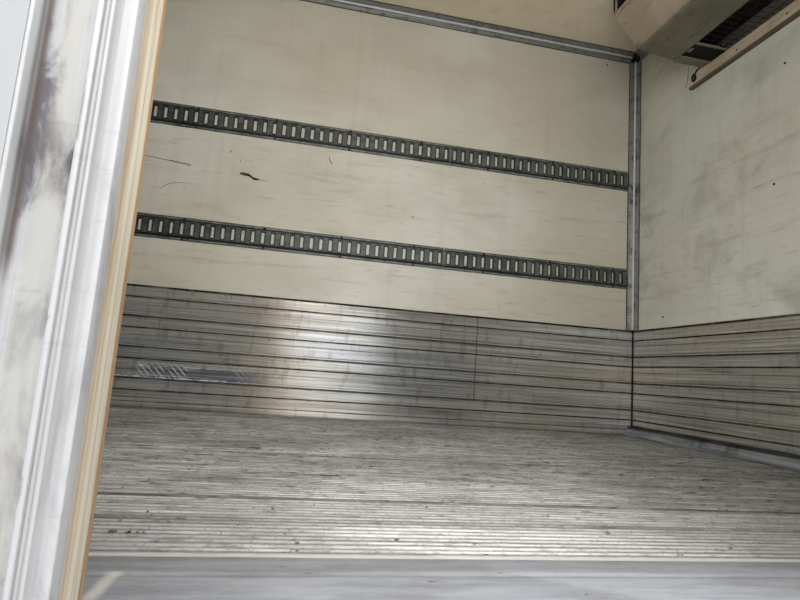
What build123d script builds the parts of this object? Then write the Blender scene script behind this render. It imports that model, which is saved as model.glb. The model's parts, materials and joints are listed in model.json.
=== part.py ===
"""Insulated cargo box of a delivery truck, standing on its two long sills.

Millimetres. +X runs forward to the bulkhead, +Y to the left wall, +Z up. The origin is the
centre of the four body mounts, on the centreline, level with the underside of the sills.
The side door is modelled folded forward against the right wall, and the rear doors shut.
"""

import os
from math import atan, degrees

from build123d import *

os.makedirs("parts", exist_ok=True)


# Load space and walls
inner_length = 4250.0
inner_width = 2438.0
inner_height = 2357.0
side_wall = 76.0
front_wall = 76.0
roof_thickness = 76.0
door_thickness = 76.0

# Underframe and floor
sill_height = 120.0
sill_width = 60.0
sill_wall = 6.0
chassis_width = 864.0
crossmember_height = 80.0
crossmember_width = 60.0
crossmember_wall = 6.0
crossmember_pitch = 305.0
crossmember_setback = 4.0
floor_panel_thickness = 85.0
floor_plate_thickness = 30.0
rib_pitch = 19.05
rib_width = 7.0
rib_height = 6.0

# Body mounts: bolted flanges outside the sills
mount_spacing_x = 3000.0
mount_spacing_y = 1000.0
mount_flange = 8.0
mount_plate = 120.0
mount_web_height = 90.0
mount_hole_radius = 8.5

# Side doorway in the right wall, with its frame set into the wall's outer face
doorway_width = 914.0
doorway_header = 300.0
doorway_from_bulkhead = 1163.0
jamb_thickness = 20.0
jamb_liner_depth = 45.0
frame_width = 59.0
frame_recess = 14.0
frame_sheet = 4.0
frame_lips = ((9.0, 3.0), (16.0, 4.0), (56.0, 3.0))
threshold_depth = 353.0
threshold_thickness = 4.0
threshold_overrun = 150.0
threshold_gap = 2.0

# Rear frame
post_width = 90.0
post_depth = 80.0
header_height = 156.0

# Doors: each is a flange that laps over its frame and a bevelled plug that fills the opening
door_gap = 6.0
door_centre_gap = 16.0
door_flange = 20.0
door_lap = 45.0
side_foot_lap = 18.0
centre_lap = 3.0
plug_bevel = 12.0
gasket_setback = 34.0
gasket_width = 18.0
gasket_seat = 7.0
gasket_proud = 2.0

# Hinges
pin_standoff = 38.0
side_pin_inset = 74.0
rear_pin_outset = 34.0
pin_radius = 7.0
pin_clearance = 0.1
knuckle_radius = 13.0
knuckle_sides = 8
knuckle_gap = 1.0
ear_height = 24.0
strap_thickness = 9.0
strap_height = 46.0
strap_overlap = 150.0
hinge_end_inset = 240.0
hinges_per_door = 3
bracket_reach = 70.0
bracket_plate = 8.0

# Locks: a rod in guides, a cam at each end, a hand lever in its catch
rod_radius = 11.0
rod_sides = 12
rod_standoff = 20.0
rod_overrun = 50.0
rod_from_free_edge = 110.0
guide_width = 64.0
guide_base = 6.0
guide_neck = 38.0
guide_crown = 24.0
guide_shoulder = 26.0
guide_reach = 35.0
guide_height = 40.0
guide_levels = (-0.4, 0.08, 0.4)
cam_width = 40.0
cam_height = 32.0
lever_length = 300.0
lever_thickness = 12.0
lever_height = 24.0
lever_above_floor = 1000.0
catch_width = 30.0
catch_height = 40.0
catch_inset = 30.0
catch_reach = 32.0
keeper_width = 66.0
keeper_wall = 7.0
keeper_reach = 52.0

# Linings and tracks
scuff_height = 609.6
scuff_thickness = 8.0
scuff_setback = 30.0
plank_pitch = 152.4
plank_joint_width = 9.0
plank_groove_width = 5.0
plank_groove_depth = 2.5
plank_groove_rise = 96.0
plank_first_joint = 145.0
front_scuff_lift = 58.0
track_height = 124.0
track_depth = 12.7
track_sheet = 3.0
track_flange = 22.0
track_heights = (914.4, 1524.0)
slot_pitch = 50.8
slot_height = 60.0
slot_width = 17.0
slot_first = 95.0
track_end_gap = 2.0
track_joint_from_bulkhead = 1188.0
track_joint_gap = 2.0
trim_leg = 48.0
trim_bow = 7.0
flashing_leg = 60.0
flashing_sheet = 3.0
flashing_hollow = 17.4

# Evaporator under the ceiling: distances back from the bulkhead and drops from the ceiling
housing_width = 1254.0
housing_sheet = 12.0
housing_end = 10.0
housing_rear = (191.0, 412.0)
housing_toe = (400.0, 385.0)
housing_nose = (537.0, 222.0)
coil_front = 470.0
coil_rise = 40.0
coil_side_gap = 30.0
strip_thickness = 5.0
strip_rows = ((599.0, 56.0), (464.0, 15.0))
guard_bar = 5.0
guard_pitch = 116.0
guard_frame = 10.0
guard_end_gap = 2.0
batten_height = 70.0
batten_thickness = 22.0
batten_length = 1450.0

# Condensing unit on the nose, with the neck that passes through the bulkhead
neck_width = 1100.0
neck_height = 290.0
neck_drop = 37.0
unit_width = 1420.0
unit_height = 640.0
unit_depth = 440.0
unit_drop = 7.0
unit_fillet = 70.0
unit_slope = 110.0
grille_width = 1120.0
grille_height = 330.0
grille_slats = 9
grille_depth = 16.0

# Outside trim and lamps
rail_sheet = 4.0
rail_leg = 90.0
corner_leg = 70.0
lamp_length = 90.0
lamp_height = 32.0
lamp_depth = 16.0
lamp_slope = 20.0
lamp_rows = (-0.88, -0.24, 0.0, 0.24, 0.88)

# Places that follow from the sizes above
half_inner = inner_width / 2
half_outer = half_inner + side_wall
outer_length = front_wall + inner_length + door_thickness
front_face = outer_length / 2
bulkhead = front_face - front_wall
rear_face = -outer_length / 2
rear_wall_end = rear_face + post_depth
wall_base = sill_height + crossmember_height
floor_panel_top = wall_base + floor_panel_thickness
floor_top = floor_panel_top + floor_plate_thickness
ceiling = floor_top + inner_height
roof_top = ceiling + roof_thickness
wall_length = front_face - rear_wall_end
wall_height = ceiling - wall_base
wall_middle = (front_face + rear_wall_end) / 2
doorway_front = bulkhead - doorway_from_bulkhead
doorway_rear = doorway_front - doorway_width
doorway_middle = (doorway_front + doorway_rear) / 2
doorway_height = inner_height - doorway_header
rear_opening_half = half_outer - post_width
header_base = roof_top - header_height
sill_outer = chassis_width / 2
sill_centre = sill_outer - sill_width / 2
scuff_top = floor_top + scuff_height
neck_middle = ceiling - neck_drop - neck_height / 2


def save(piece, name):
    """Label a finished piece and write it as one STEP file."""
    piece.part.label = name
    export_step(piece.part, f"parts/{name}.step")


# Long sills: two channels open towards the centreline, with the mount flanges outside them
with BuildPart() as long_sills:
    for side in (-1, 1):
        with BuildSketch(Plane.YZ.offset(rear_face)):
            with Locations((side * sill_centre, sill_height / 2)):
                Rectangle(sill_width, sill_height)
            with Locations((side * (sill_centre - sill_wall), sill_height / 2)):
                Rectangle(sill_width, sill_height - 2 * sill_wall, mode=Mode.SUBTRACT)
        extrude(amount=outer_length)
        flange_reach = mount_spacing_y / 2 - sill_outer + mount_plate / 4
        with BuildSketch(Plane.XY):
            with Locations(
                (-mount_spacing_x / 2, side * (sill_outer + flange_reach / 2)),
                (mount_spacing_x / 2, side * (sill_outer + flange_reach / 2)),
            ):
                Rectangle(mount_plate, flange_reach)
            with Locations(
                (-mount_spacing_x / 2, side * mount_spacing_y / 2),
                (mount_spacing_x / 2, side * mount_spacing_y / 2),
            ):
                Circle(mount_hole_radius, mode=Mode.SUBTRACT)
        extrude(amount=mount_flange)
        with BuildSketch(Plane.XZ.offset(-side * sill_outer)):
            with Locations(
                (-mount_spacing_x / 2, mount_web_height / 2),
                (mount_spacing_x / 2, mount_web_height / 2),
            ):
                Rectangle(mount_plate, mount_web_height)
        extrude(amount=-side * mount_flange)
save(long_sills, "long_sills")


# Crossmembers: a row of rolled beams lying across the sills
crossmember_count = int((outer_length - crossmember_width) // crossmember_pitch) + 1
crossmember_span = (crossmember_count - 1) * crossmember_pitch
with BuildPart() as crossmembers:
    crossmember_half = half_inner - crossmember_setback
    with BuildSketch(Plane.XZ.offset(-crossmember_half)):
        for number in range(crossmember_count):
            beam_x = number * crossmember_pitch - crossmember_span / 2
            with Locations((beam_x, sill_height + crossmember_height / 2)):
                Rectangle(crossmember_width, crossmember_height)
            cheek = (crossmember_width - crossmember_wall) / 2
            for hand in (-1, 1):
                cheek_x = beam_x + hand * (crossmember_wall + cheek) / 2
                with Locations((cheek_x, sill_height + crossmember_height / 2)):
                    Rectangle(cheek, crossmember_height - 2 * crossmember_wall, mode=Mode.SUBTRACT)
    extrude(amount=2 * crossmember_half)
save(crossmembers, "crossmembers")


# Insulated floor panel between the walls
with BuildPart() as floor_panel:
    with BuildSketch(Plane.XY.offset(wall_base)):
        with Locations(((bulkhead + rear_wall_end) / 2, 0)):
            Rectangle(bulkhead - rear_wall_end, inner_width)
    extrude(amount=floor_panel_thickness)
save(floor_panel, "floor_panel")


# Extruded floor plate with fine ribs that run lengthwise, one of them on the centreline
rib_count = 2 * int((half_inner - rib_width) // rib_pitch) + 1
with BuildPart() as ribbed_floor:
    with BuildSketch(Plane.YZ.offset(rear_wall_end)):
        plate_height = floor_plate_thickness - rib_height
        with Locations((0, floor_panel_top + plate_height / 2)):
            Rectangle(inner_width, plate_height)
        with Locations((0, floor_top - rib_height / 2)):
            with GridLocations(rib_pitch, 1, rib_count, 1):
                Rectangle(rib_width, rib_height)
    extrude(amount=bulkhead - rear_wall_end)
save(ribbed_floor, "ribbed_floor")


# Smooth threshold plate, out over the wall in the doorway and wider than it inside
with BuildPart() as threshold_plate:
    with BuildSketch(Plane.XY.offset(floor_top)):
        plate_depth = threshold_depth + side_wall
        with Locations((doorway_middle, -half_outer + plate_depth / 2)):
            Rectangle(doorway_width, plate_depth)
        inside_depth = threshold_depth - scuff_thickness - threshold_gap
        with Locations((doorway_middle, threshold_depth - half_inner - inside_depth / 2)):
            Rectangle(doorway_width + 2 * threshold_overrun, inside_depth)
    extrude(amount=threshold_thickness)
save(threshold_plate, "threshold_plate")


def doorway_outline(grow):
    """Sketch a doorway that is larger than the clear opening at its sides and its top."""
    with Locations((doorway_middle, floor_top + (doorway_height + grow) / 2)):
        Rectangle(doorway_width + 2 * grow, doorway_height + grow)


def doorway_cut(grow):
    """Cut the same doorway, open at its foot."""
    with Locations((doorway_middle, floor_top + (doorway_height + grow) / 2)):
        Rectangle(doorway_width + 2 * grow, doorway_height + grow, mode=Mode.SUBTRACT)


# Side walls: insulated panels, the right one cut for the doorway and rebated for its frame
with BuildPart() as left_wall:
    with BuildSketch(Plane.XZ.offset(-half_inner)):
        with Locations((wall_middle, (wall_base + ceiling) / 2)):
            Rectangle(wall_length, wall_height)
    extrude(amount=-side_wall)
save(left_wall, "left_wall")

with BuildPart() as right_wall:
    with BuildSketch(Plane.XZ.offset(half_inner)):
        with Locations((wall_middle, (wall_base + ceiling) / 2)):
            Rectangle(wall_length, wall_height)
        doorway_cut(jamb_thickness)
    extrude(amount=side_wall)
    with BuildSketch(Plane.XZ.offset(half_outer - frame_recess - frame_sheet)):
        doorway_outline(frame_width)
    extrude(amount=frame_recess + frame_sheet, mode=Mode.SUBTRACT)
save(right_wall, "right_wall")


# Bulkhead with the opening that the refrigeration unit passes through
with BuildPart() as front_panel:
    with BuildSketch(Plane.YZ.offset(bulkhead)):
        with Locations((0, (wall_base + ceiling) / 2)):
            Rectangle(inner_width, wall_height)
        with Locations((0, neck_middle)):
            Rectangle(neck_width, neck_height, mode=Mode.SUBTRACT)
    extrude(amount=front_wall)
save(front_panel, "front_wall")


# Roof panel over the walls
with BuildPart() as roof_panel:
    with BuildSketch(Plane.XY.offset(ceiling)):
        with Locations((wall_middle, 0)):
            Rectangle(wall_length, 2 * half_outer)
    extrude(amount=roof_thickness)
save(roof_panel, "roof_panel")


# Rear frame: two posts, a header between them and a sill under the doors
with BuildPart() as rear_posts:
    with BuildSketch(Plane.XY.offset(wall_base)):
        for side in (-1, 1):
            with Locations((rear_face + post_depth / 2, side * (half_outer - post_width / 2))):
                Rectangle(post_depth, post_width)
    extrude(amount=roof_top - wall_base)
save(rear_posts, "rear_posts")

with BuildPart() as rear_header:
    with BuildSketch(Plane.YZ.offset(rear_face)):
        with Locations((0, header_base + header_height / 2)):
            Rectangle(2 * rear_opening_half, header_height)
    extrude(amount=post_depth)
save(rear_header, "rear_header")

with BuildPart() as rear_sill:
    with BuildSketch(Plane.YZ.offset(rear_face)):
        with Locations((0, (wall_base + floor_top) / 2)):
            Rectangle(2 * rear_opening_half, floor_top - wall_base)
    extrude(amount=post_depth)
save(rear_sill, "rear_sill")


# Outside rails: angles along the foot of the walls and over the roof's edges
with BuildPart() as bottom_rails:
    for side in (-1, 1):
        with BuildSketch(Plane.YZ.offset(rear_wall_end)):
            with Locations((side * (half_outer + rail_sheet / 2), wall_base + rail_leg / 2)):
                Rectangle(rail_sheet, rail_leg)
            with Locations((side * (half_outer + rail_sheet - side_wall / 2), wall_base - rail_sheet / 2)):
                Rectangle(side_wall, rail_sheet)
        extrude(amount=wall_length)
save(bottom_rails, "bottom_rails")

with BuildPart() as top_rails:
    for side in (-1, 1):
        with BuildSketch(Plane.YZ.offset(rear_wall_end)):
            with Locations((side * (half_outer + rail_sheet / 2), roof_top + rail_sheet - rail_leg / 2)):
                Rectangle(rail_sheet, rail_leg)
            with Locations((side * (half_outer - rail_leg / 2), roof_top + rail_sheet / 2)):
                Rectangle(rail_leg, rail_sheet)
        extrude(amount=wall_length)
save(top_rails, "top_rails")

with BuildPart() as front_corner_posts:
    corner_height = roof_top - rail_leg - wall_base - rail_leg
    for side in (-1, 1):
        with BuildSketch(Plane.XY.offset(wall_base + rail_leg)):
            with Locations((front_face - corner_leg / 2, side * (half_outer + rail_sheet / 2))):
                Rectangle(corner_leg, rail_sheet)
            with Locations(
                (front_face + rail_sheet / 2, side * (half_outer + rail_sheet - corner_leg / 2))
            ):
                Rectangle(rail_sheet, corner_leg)
        extrude(amount=corner_height)
save(front_corner_posts, "front_corner_posts")


# Side door frame: a recessed plate with upright lips and a return into the doorway
return_depth = side_wall - jamb_liner_depth

with BuildPart() as side_door_frame:
    with BuildSketch(Plane.XZ.offset(half_outer - frame_recess - frame_sheet)):
        doorway_outline(frame_width)
        doorway_cut(0.0)
    extrude(amount=frame_sheet)
    with BuildSketch(Plane.XZ.offset(half_outer - return_depth)):
        doorway_outline(jamb_thickness)
        doorway_cut(0.0)
    extrude(amount=return_depth - frame_recess)
    for lip_start, lip_width in frame_lips:
        with BuildSketch(Plane.XZ.offset(half_outer - frame_recess)):
            doorway_outline(lip_start + lip_width)
            doorway_cut(lip_start)
        extrude(amount=frame_recess)
save(side_door_frame, "side_door_frame")

with BuildPart() as side_jamb_liner:
    with BuildSketch(Plane.XZ.offset(half_inner)):
        doorway_outline(jamb_thickness)
        doorway_cut(0.0)
    extrude(amount=jamb_liner_depth)
save(side_jamb_liner, "side_jamb_liner")


# Doors: where each turns about its pin, and how far it reaches away from it
flange_face = pin_standoff - door_gap - door_flange
plug_face = pin_standoff - door_gap
plug_depth = door_thickness + door_gap
side_door_width = doorway_width - 2 * door_gap
side_door_height = doorway_height - threshold_thickness - 2 * door_gap
rear_door_width = rear_opening_half - door_gap - door_centre_gap / 2
rear_door_height = header_base - floor_top - 2 * door_gap
side_pin = (doorway_front + side_pin_inset, -half_outer - pin_standoff)
rear_pin_x = rear_face - pin_standoff
rear_pin_y = half_outer + rear_pin_outset
side_reach = side_pin_inset + door_gap
rear_reach = rear_pin_outset + post_width + door_gap
side_door_base = floor_top + threshold_thickness + door_gap
rear_door_base = floor_top + door_gap
side_laps = (door_lap, door_lap, door_lap, side_foot_lap)
rear_laps = (door_lap, centre_lap, door_lap, door_lap)

# name, pin, direction away from the pin, direction through the leaf, reach to the plug's edge,
# width, height and base of the plug, laps at the hinge edge, free edge, top and foot
doors = (
    ("side_door", side_pin, (1, 0, 0), (0, -1, 0), side_reach,
     side_door_width, side_door_height, side_door_base, side_laps),
    ("rear_left_door", (rear_pin_x, rear_pin_y), (0, -1, 0), (1, 0, 0), rear_reach,
     rear_door_width, rear_door_height, rear_door_base, rear_laps),
    ("rear_right_door", (rear_pin_x, -rear_pin_y), (0, 1, 0), (1, 0, 0), rear_reach,
     rear_door_width, rear_door_height, rear_door_base, rear_laps),
)


def leaf_plane(pin, along, inward, level, depth):
    """Give the upright plane at a depth behind the pin, with X running along the leaf."""
    origin = Vector(pin[0], pin[1], level) + Vector(*inward) * depth
    return Plane(origin=origin, x_dir=along, z_dir=inward)


def level_plane(pin, along, inward, level):
    """Give the level plane through the pin, with X along the leaf and Y through it."""
    turn = Vector(*along).cross(Vector(*inward))
    return Plane(origin=(pin[0], pin[1], level), x_dir=along, z_dir=turn)


def hinge_levels(base, height):
    """Space the hinges evenly over a door's height."""
    step = (height - 2 * hinge_end_inset) / (hinges_per_door - 1)
    return [base + hinge_end_inset + step * number for number in range(hinges_per_door)]


def flange_span(base, height, laps):
    """Give the middle level and the height of a door's flange."""
    low = base - laps[3]
    high = base + height + laps[2]
    return (low + high) / 2, high - low


bevel_angle = degrees(atan(plug_bevel / plug_depth))
ring_shrink = plug_bevel * gasket_setback / plug_depth + gasket_seat
ring_grow = gasket_seat + gasket_proud
rod_depth = flange_face - rod_standoff

for name, pin, along, inward, reach, width, height, base, laps in doors:
    middle = base + height / 2
    flange_middle, flange_height = flange_span(base, height, laps)
    flange_start = reach - laps[0]
    flange_end = reach + width + laps[1]

    # Leaf: the flange, and the plug with a rebate for its seal
    with BuildPart() as leaf:
        with BuildSketch(leaf_plane(pin, along, inward, flange_middle, flange_face)):
            with Locations(((flange_start + flange_end) / 2, 0)):
                Rectangle(flange_end - flange_start, flange_height)
        extrude(amount=door_flange)
        with BuildSketch(leaf_plane(pin, along, inward, middle, plug_face)):
            with Locations((reach + width / 2, 0)):
                Rectangle(width, height)
        extrude(amount=plug_depth, taper=bevel_angle)
        with BuildSketch(leaf_plane(pin, along, inward, middle, plug_face + gasket_setback)):
            with Locations((reach + width / 2, 0)):
                Rectangle(width + door_gap, height + door_gap)
                Rectangle(width - 2 * ring_shrink, height - 2 * ring_shrink, mode=Mode.SUBTRACT)
        extrude(amount=gasket_width, mode=Mode.SUBTRACT)
    save(leaf, f"{name}_leaf")

    # Seal: a ring that stands a little proud of the bevel
    with BuildPart() as gasket:
        with BuildSketch(leaf_plane(pin, along, inward, middle, plug_face + gasket_setback)):
            with Locations((reach + width / 2, 0)):
                Rectangle(width - 2 * (ring_shrink - ring_grow), height - 2 * (ring_shrink - ring_grow))
                Rectangle(width - 2 * ring_shrink, height - 2 * ring_shrink, mode=Mode.SUBTRACT)
        extrude(amount=gasket_width)
    save(gasket, f"{name}_gasket")

    # Hinge straps with their knuckles round the pin
    with BuildPart() as hinges:
        for hinge_level in hinge_levels(base, height):
            with BuildSketch(level_plane(pin, along, inward, hinge_level)):
                RegularPolygon(knuckle_radius, knuckle_sides, major_radius=False, rotation=180 / knuckle_sides)
                strap_end = flange_start + strap_overlap
                with Locations((strap_end / 2, flange_face - strap_thickness / 2)):
                    Rectangle(strap_end, strap_thickness)
                Circle(pin_radius + pin_clearance, mode=Mode.SUBTRACT)
            extrude(amount=strap_height / 2, both=True)
    save(hinges, f"{name}_hinges")

    # Lock: the rod with its cams, its guides, and the lever in its catch
    rod_along = flange_end - rod_from_free_edge
    rod_half = flange_height / 2 + rod_overrun
    with BuildPart() as lock:
        with BuildSketch(level_plane(pin, along, inward, flange_middle)):
            with Locations((rod_along, rod_depth)):
                RegularPolygon(rod_radius, rod_sides, major_radius=False, rotation=180 / rod_sides)
        extrude(amount=rod_half, both=True)
        for hand in (-1, 1):
            cam_level = flange_middle + hand * (rod_half - cam_height / 2)
            with BuildSketch(level_plane(pin, along, inward, cam_level)):
                with Locations((rod_along, rod_depth)):
                    Rectangle(cam_width, 2 * rod_radius)
            extrude(amount=cam_height / 2, both=True)
        for guide_level in guide_levels:
            with BuildSketch(level_plane(pin, along, inward, flange_middle + guide_level * flange_height)):
                with Locations((rod_along, flange_face - guide_base / 2)):
                    Rectangle(guide_width, guide_base)
                with Locations((rod_along, flange_face - guide_shoulder / 2)):
                    Rectangle(guide_neck, guide_shoulder)
                with Locations((rod_along, flange_face - guide_reach / 2)):
                    Rectangle(guide_crown, guide_reach)
            extrude(amount=guide_height / 2, both=True)
        lever_plane = level_plane(pin, along, inward, floor_top + lever_above_floor)
        with BuildSketch(lever_plane):
            with Locations((rod_along - lever_length / 2, rod_depth)):
                Rectangle(lever_length, lever_thickness)
        extrude(amount=lever_height / 2, both=True)
        with BuildSketch(lever_plane):
            with Locations((rod_along - lever_length + catch_inset, flange_face - catch_reach / 2)):
                Rectangle(catch_width, catch_reach)
        extrude(amount=catch_height / 2, both=True)
    save(lock, f"{name}_lock")


# Hinge brackets: two ears and a plate each, on the right wall and on the rear posts
ear_start = strap_height / 2 + knuckle_gap
ear_end = ear_start + ear_height

with BuildPart() as side_hinge_brackets:
    for hinge_level in hinge_levels(side_door_base, side_door_height):
        with BuildSketch(level_plane(side_pin, (-1, 0, 0), (0, 1, 0), hinge_level)):
            Circle(pin_radius)
            with Locations(((knuckle_radius - bracket_reach) / 2, pin_standoff - bracket_plate / 2)):
                Rectangle(knuckle_radius + bracket_reach, bracket_plate)
        extrude(amount=ear_end, both=True)
        for hand in (-1, 1):
            ear_level = hinge_level + hand * (ear_start + ear_end) / 2
            with BuildSketch(level_plane(side_pin, (-1, 0, 0), (0, 1, 0), ear_level)):
                RegularPolygon(knuckle_radius, knuckle_sides, major_radius=False, rotation=180 / knuckle_sides)
                with Locations((0, pin_standoff / 2)):
                    Rectangle(2 * knuckle_radius, pin_standoff)
            extrude(amount=ear_height / 2, both=True)
save(side_hinge_brackets, "side_hinge_brackets")

with BuildPart() as rear_hinge_brackets:
    for side in (-1, 1):
        post_pin = (rear_pin_x, side * rear_pin_y)
        for hinge_level in hinge_levels(rear_door_base, rear_door_height):
            with BuildSketch(level_plane(post_pin, (0, -side, 0), (1, 0, 0), hinge_level)):
                Circle(pin_radius)
                with Locations((rear_pin_outset - bracket_plate / 2, pin_standoff + bracket_reach / 2)):
                    Rectangle(bracket_plate, bracket_reach)
            extrude(amount=ear_end, both=True)
            for hand in (-1, 1):
                ear_level = hinge_level + hand * (ear_start + ear_end) / 2
                with BuildSketch(level_plane(post_pin, (0, -side, 0), (1, 0, 0), ear_level)):
                    RegularPolygon(knuckle_radius, knuckle_sides, major_radius=False, rotation=180 / knuckle_sides)
                    with Locations((rear_pin_outset / 2, 0)):
                        Rectangle(rear_pin_outset, 2 * knuckle_radius)
                    with Locations((rear_pin_outset - bracket_plate / 2, pin_standoff / 2)):
                        Rectangle(bracket_plate, pin_standoff)
                extrude(amount=ear_height / 2, both=True)
save(rear_hinge_brackets, "rear_hinge_brackets")


# Keepers for the rods' cams, above and below each door, as the doors stand when shut
with BuildPart() as lock_keepers:
    for name, pin, along, inward, reach, width, height, base, laps in doors:
        if name == "side_door":
            along, inward = (-1, 0, 0), (0, 1, 0)
            keeper_seats = (pin_standoff - rail_sheet, pin_standoff)
        else:
            keeper_seats = (pin_standoff, pin_standoff)
        flange_middle, flange_height = flange_span(base, height, laps)
        rod_along = reach + width + laps[1] - rod_from_free_edge
        for hand, keeper_seat in zip((-1, 1), keeper_seats):
            keeper_level = flange_middle + hand * (flange_height + door_gap + rod_overrun) / 2
            with BuildSketch(level_plane(pin, along, inward, keeper_level)):
                with Locations((rod_along, keeper_seat - keeper_wall / 2)):
                    Rectangle(keeper_width, keeper_wall)
                jaw_place = (keeper_width - keeper_wall) / 2
                with Locations(
                    (rod_along - jaw_place, keeper_seat - keeper_reach / 2),
                    (rod_along + jaw_place, keeper_seat - keeper_reach / 2),
                ):
                    Rectangle(keeper_wall, keeper_reach)
            extrude(amount=(rod_overrun - door_gap) / 2, both=True)
save(lock_keepers, "lock_keepers")


# Scuff lining: extruded planks, a double line at each joint and one groove between
def plank_grooves(low, high):
    """List the height and width of each line that falls on a lining between two heights."""
    lines = []
    joint = plank_first_joint
    while joint < scuff_height + plank_pitch:
        lines.append((joint, plank_joint_width))
        lines.append((joint + plank_groove_rise, plank_groove_width))
        lines.append((joint - plank_pitch + plank_groove_rise, plank_groove_width))
        joint += plank_pitch
    kept = [line for line in lines if low + line[1] < line[0] < high - line[1]]
    return sorted(set(kept))


def scuff_section(face, side, low):
    """Sketch a lining's section: a plate on the wall with the grooves cut in its face."""
    with Locations((face - side * scuff_thickness / 2, floor_top + (low + scuff_height) / 2)):
        Rectangle(scuff_thickness, scuff_height - low)
    for line_height, line_width in plank_grooves(low, scuff_height):
        groove_place = face - side * (scuff_thickness - plank_groove_depth / 2)
        with Locations((groove_place, floor_top + line_height)):
            Rectangle(plank_groove_depth, line_width, mode=Mode.SUBTRACT)


with BuildPart() as left_scuff_liner:
    with BuildSketch(Plane.YZ.offset(rear_wall_end)):
        scuff_section(half_inner, 1, 0.0)
    extrude(amount=bulkhead - rear_wall_end)
save(left_scuff_liner, "left_scuff_liner")

with BuildPart() as right_scuff_liners:
    with BuildSketch(Plane.YZ.offset(rear_wall_end)):
        scuff_section(-half_inner, -1, 0.0)
    extrude(amount=doorway_rear - scuff_setback - rear_wall_end)
    with BuildSketch(Plane.YZ.offset(doorway_front + scuff_setback)):
        scuff_section(-half_inner, -1, 0.0)
    extrude(amount=bulkhead - doorway_front - scuff_setback)
save(right_scuff_liners, "right_scuff_liners")

with BuildPart() as front_scuff_liner:
    with BuildSketch(Plane.XZ.offset(-half_inner + scuff_thickness)):
        scuff_section(bulkhead, 1, front_scuff_lift)
    extrude(amount=inner_width - 2 * scuff_thickness)
save(front_scuff_liner, "front_scuff_liner")

# Curved flashing at the foot of the bulkhead
with BuildPart() as base_flashing:
    with BuildSketch(Plane.XZ.offset(-half_inner + scuff_thickness)):
        with BuildLine():
            flashing_top = (bulkhead, floor_top + flashing_leg - flashing_sheet)
            flashing_toe = (bulkhead - flashing_leg, floor_top)
            Polyline(flashing_top, (bulkhead, floor_top), flashing_toe)
            SagittaArc(flashing_toe, flashing_top, flashing_hollow)
        make_face()
    extrude(amount=inner_width - 2 * scuff_thickness)
save(base_flashing, "base_flashing")


# Cargo tracks: hat sections with a row of upright slots
def track_section(face, side, track_centre):
    """Sketch the hat section of a track on a side wall."""
    crown = track_height - 2 * track_flange
    with Locations((face - side * track_depth / 2, track_centre)):
        Rectangle(track_depth, crown)
    with Locations((face - side * (track_depth - track_sheet) / 2, track_centre)):
        Rectangle(track_depth - track_sheet, crown - 2 * track_sheet, mode=Mode.SUBTRACT)
    for hand in (-1, 1):
        with Locations((face - side * track_sheet / 2, track_centre + hand * (track_height - track_flange) / 2)):
            Rectangle(track_sheet, track_flange)


def track_slots(start, end):
    """List the places of the slots on a length of track, counted from the bulkhead."""
    places = []
    place = bulkhead - slot_first
    while place > start:
        if start + slot_width < place < end - slot_width:
            places.append(place)
        place -= slot_pitch
    return places


def slot_row(start, end, track_centre):
    """Sketch the upright slots on a length of track."""
    with Locations(*[(place, track_centre) for place in track_slots(start, end)]):
        Rectangle(slot_width, slot_height)


track_front = bulkhead - trim_leg - track_end_gap
track_rear = rear_wall_end + track_end_gap
track_joint = bulkhead - track_joint_from_bulkhead
left_lengths = (
    (track_rear, track_joint - track_joint_gap / 2),
    (track_joint + track_joint_gap / 2, track_front),
)
right_lengths = (
    (track_rear, doorway_rear - scuff_setback),
    (doorway_front + scuff_setback, track_front),
)

for name, track_level in (("left_lower_track", track_heights[0]), ("left_upper_track", track_heights[1])):
    with BuildPart() as track:
        for start, end in left_lengths:
            with BuildSketch(Plane.YZ.offset(start)):
                track_section(half_inner, 1, floor_top + track_level)
            extrude(amount=end - start)
            with BuildSketch(Plane.XZ.offset(track_depth - half_inner)):
                slot_row(start, end, floor_top + track_level)
            extrude(amount=-track_sheet, mode=Mode.SUBTRACT)
    save(track, name)

for name, track_level in (("right_lower_track", track_heights[0]), ("right_upper_track", track_heights[1])):
    with BuildPart() as track:
        for start, end in right_lengths:
            with BuildSketch(Plane.YZ.offset(start)):
                track_section(-half_inner, -1, floor_top + track_level)
            extrude(amount=end - start)
            with BuildSketch(Plane.XZ.offset(half_inner - track_depth)):
                slot_row(start, end, floor_top + track_level)
            extrude(amount=track_sheet, mode=Mode.SUBTRACT)
    save(track, name)


# Cove trims along the ceiling, and upright in the two front corners
def cove(corner, first, second):
    """Sketch a cove section that fills a corner, its face bowed inwards."""
    start = (corner[0] + first[0] * trim_leg, corner[1] + first[1] * trim_leg)
    end = (corner[0] + second[0] * trim_leg, corner[1] + second[1] * trim_leg)
    turn = first[0] * second[1] - first[1] * second[0]
    with BuildLine() as outline:
        Polyline(start, corner, end)
        SagittaArc(end, start, -turn * trim_bow)
    make_face(outline.edges())


with BuildPart() as ceiling_trims:
    front_trim_length = half_inner - trim_leg - housing_width / 2
    for side in (-1, 1):
        with BuildSketch(Plane.YZ.offset(rear_wall_end)):
            cove((side * half_inner, ceiling), (-side, 0), (0, -1))
        extrude(amount=bulkhead - rear_wall_end)
        with BuildSketch(Plane.XZ.offset(side * (half_inner - trim_leg))):
            cove((bulkhead, ceiling), (-1, 0), (0, -1))
        extrude(amount=-side * front_trim_length)
save(ceiling_trims, "ceiling_trims")

with BuildPart() as corner_trims:
    for side in (-1, 1):
        with BuildSketch(Plane.XY.offset(scuff_top)):
            cove((bulkhead, side * half_inner), (-1, 0), (0, -side))
        extrude(amount=ceiling - trim_leg - scuff_top)
save(corner_trims, "corner_trims")


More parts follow.
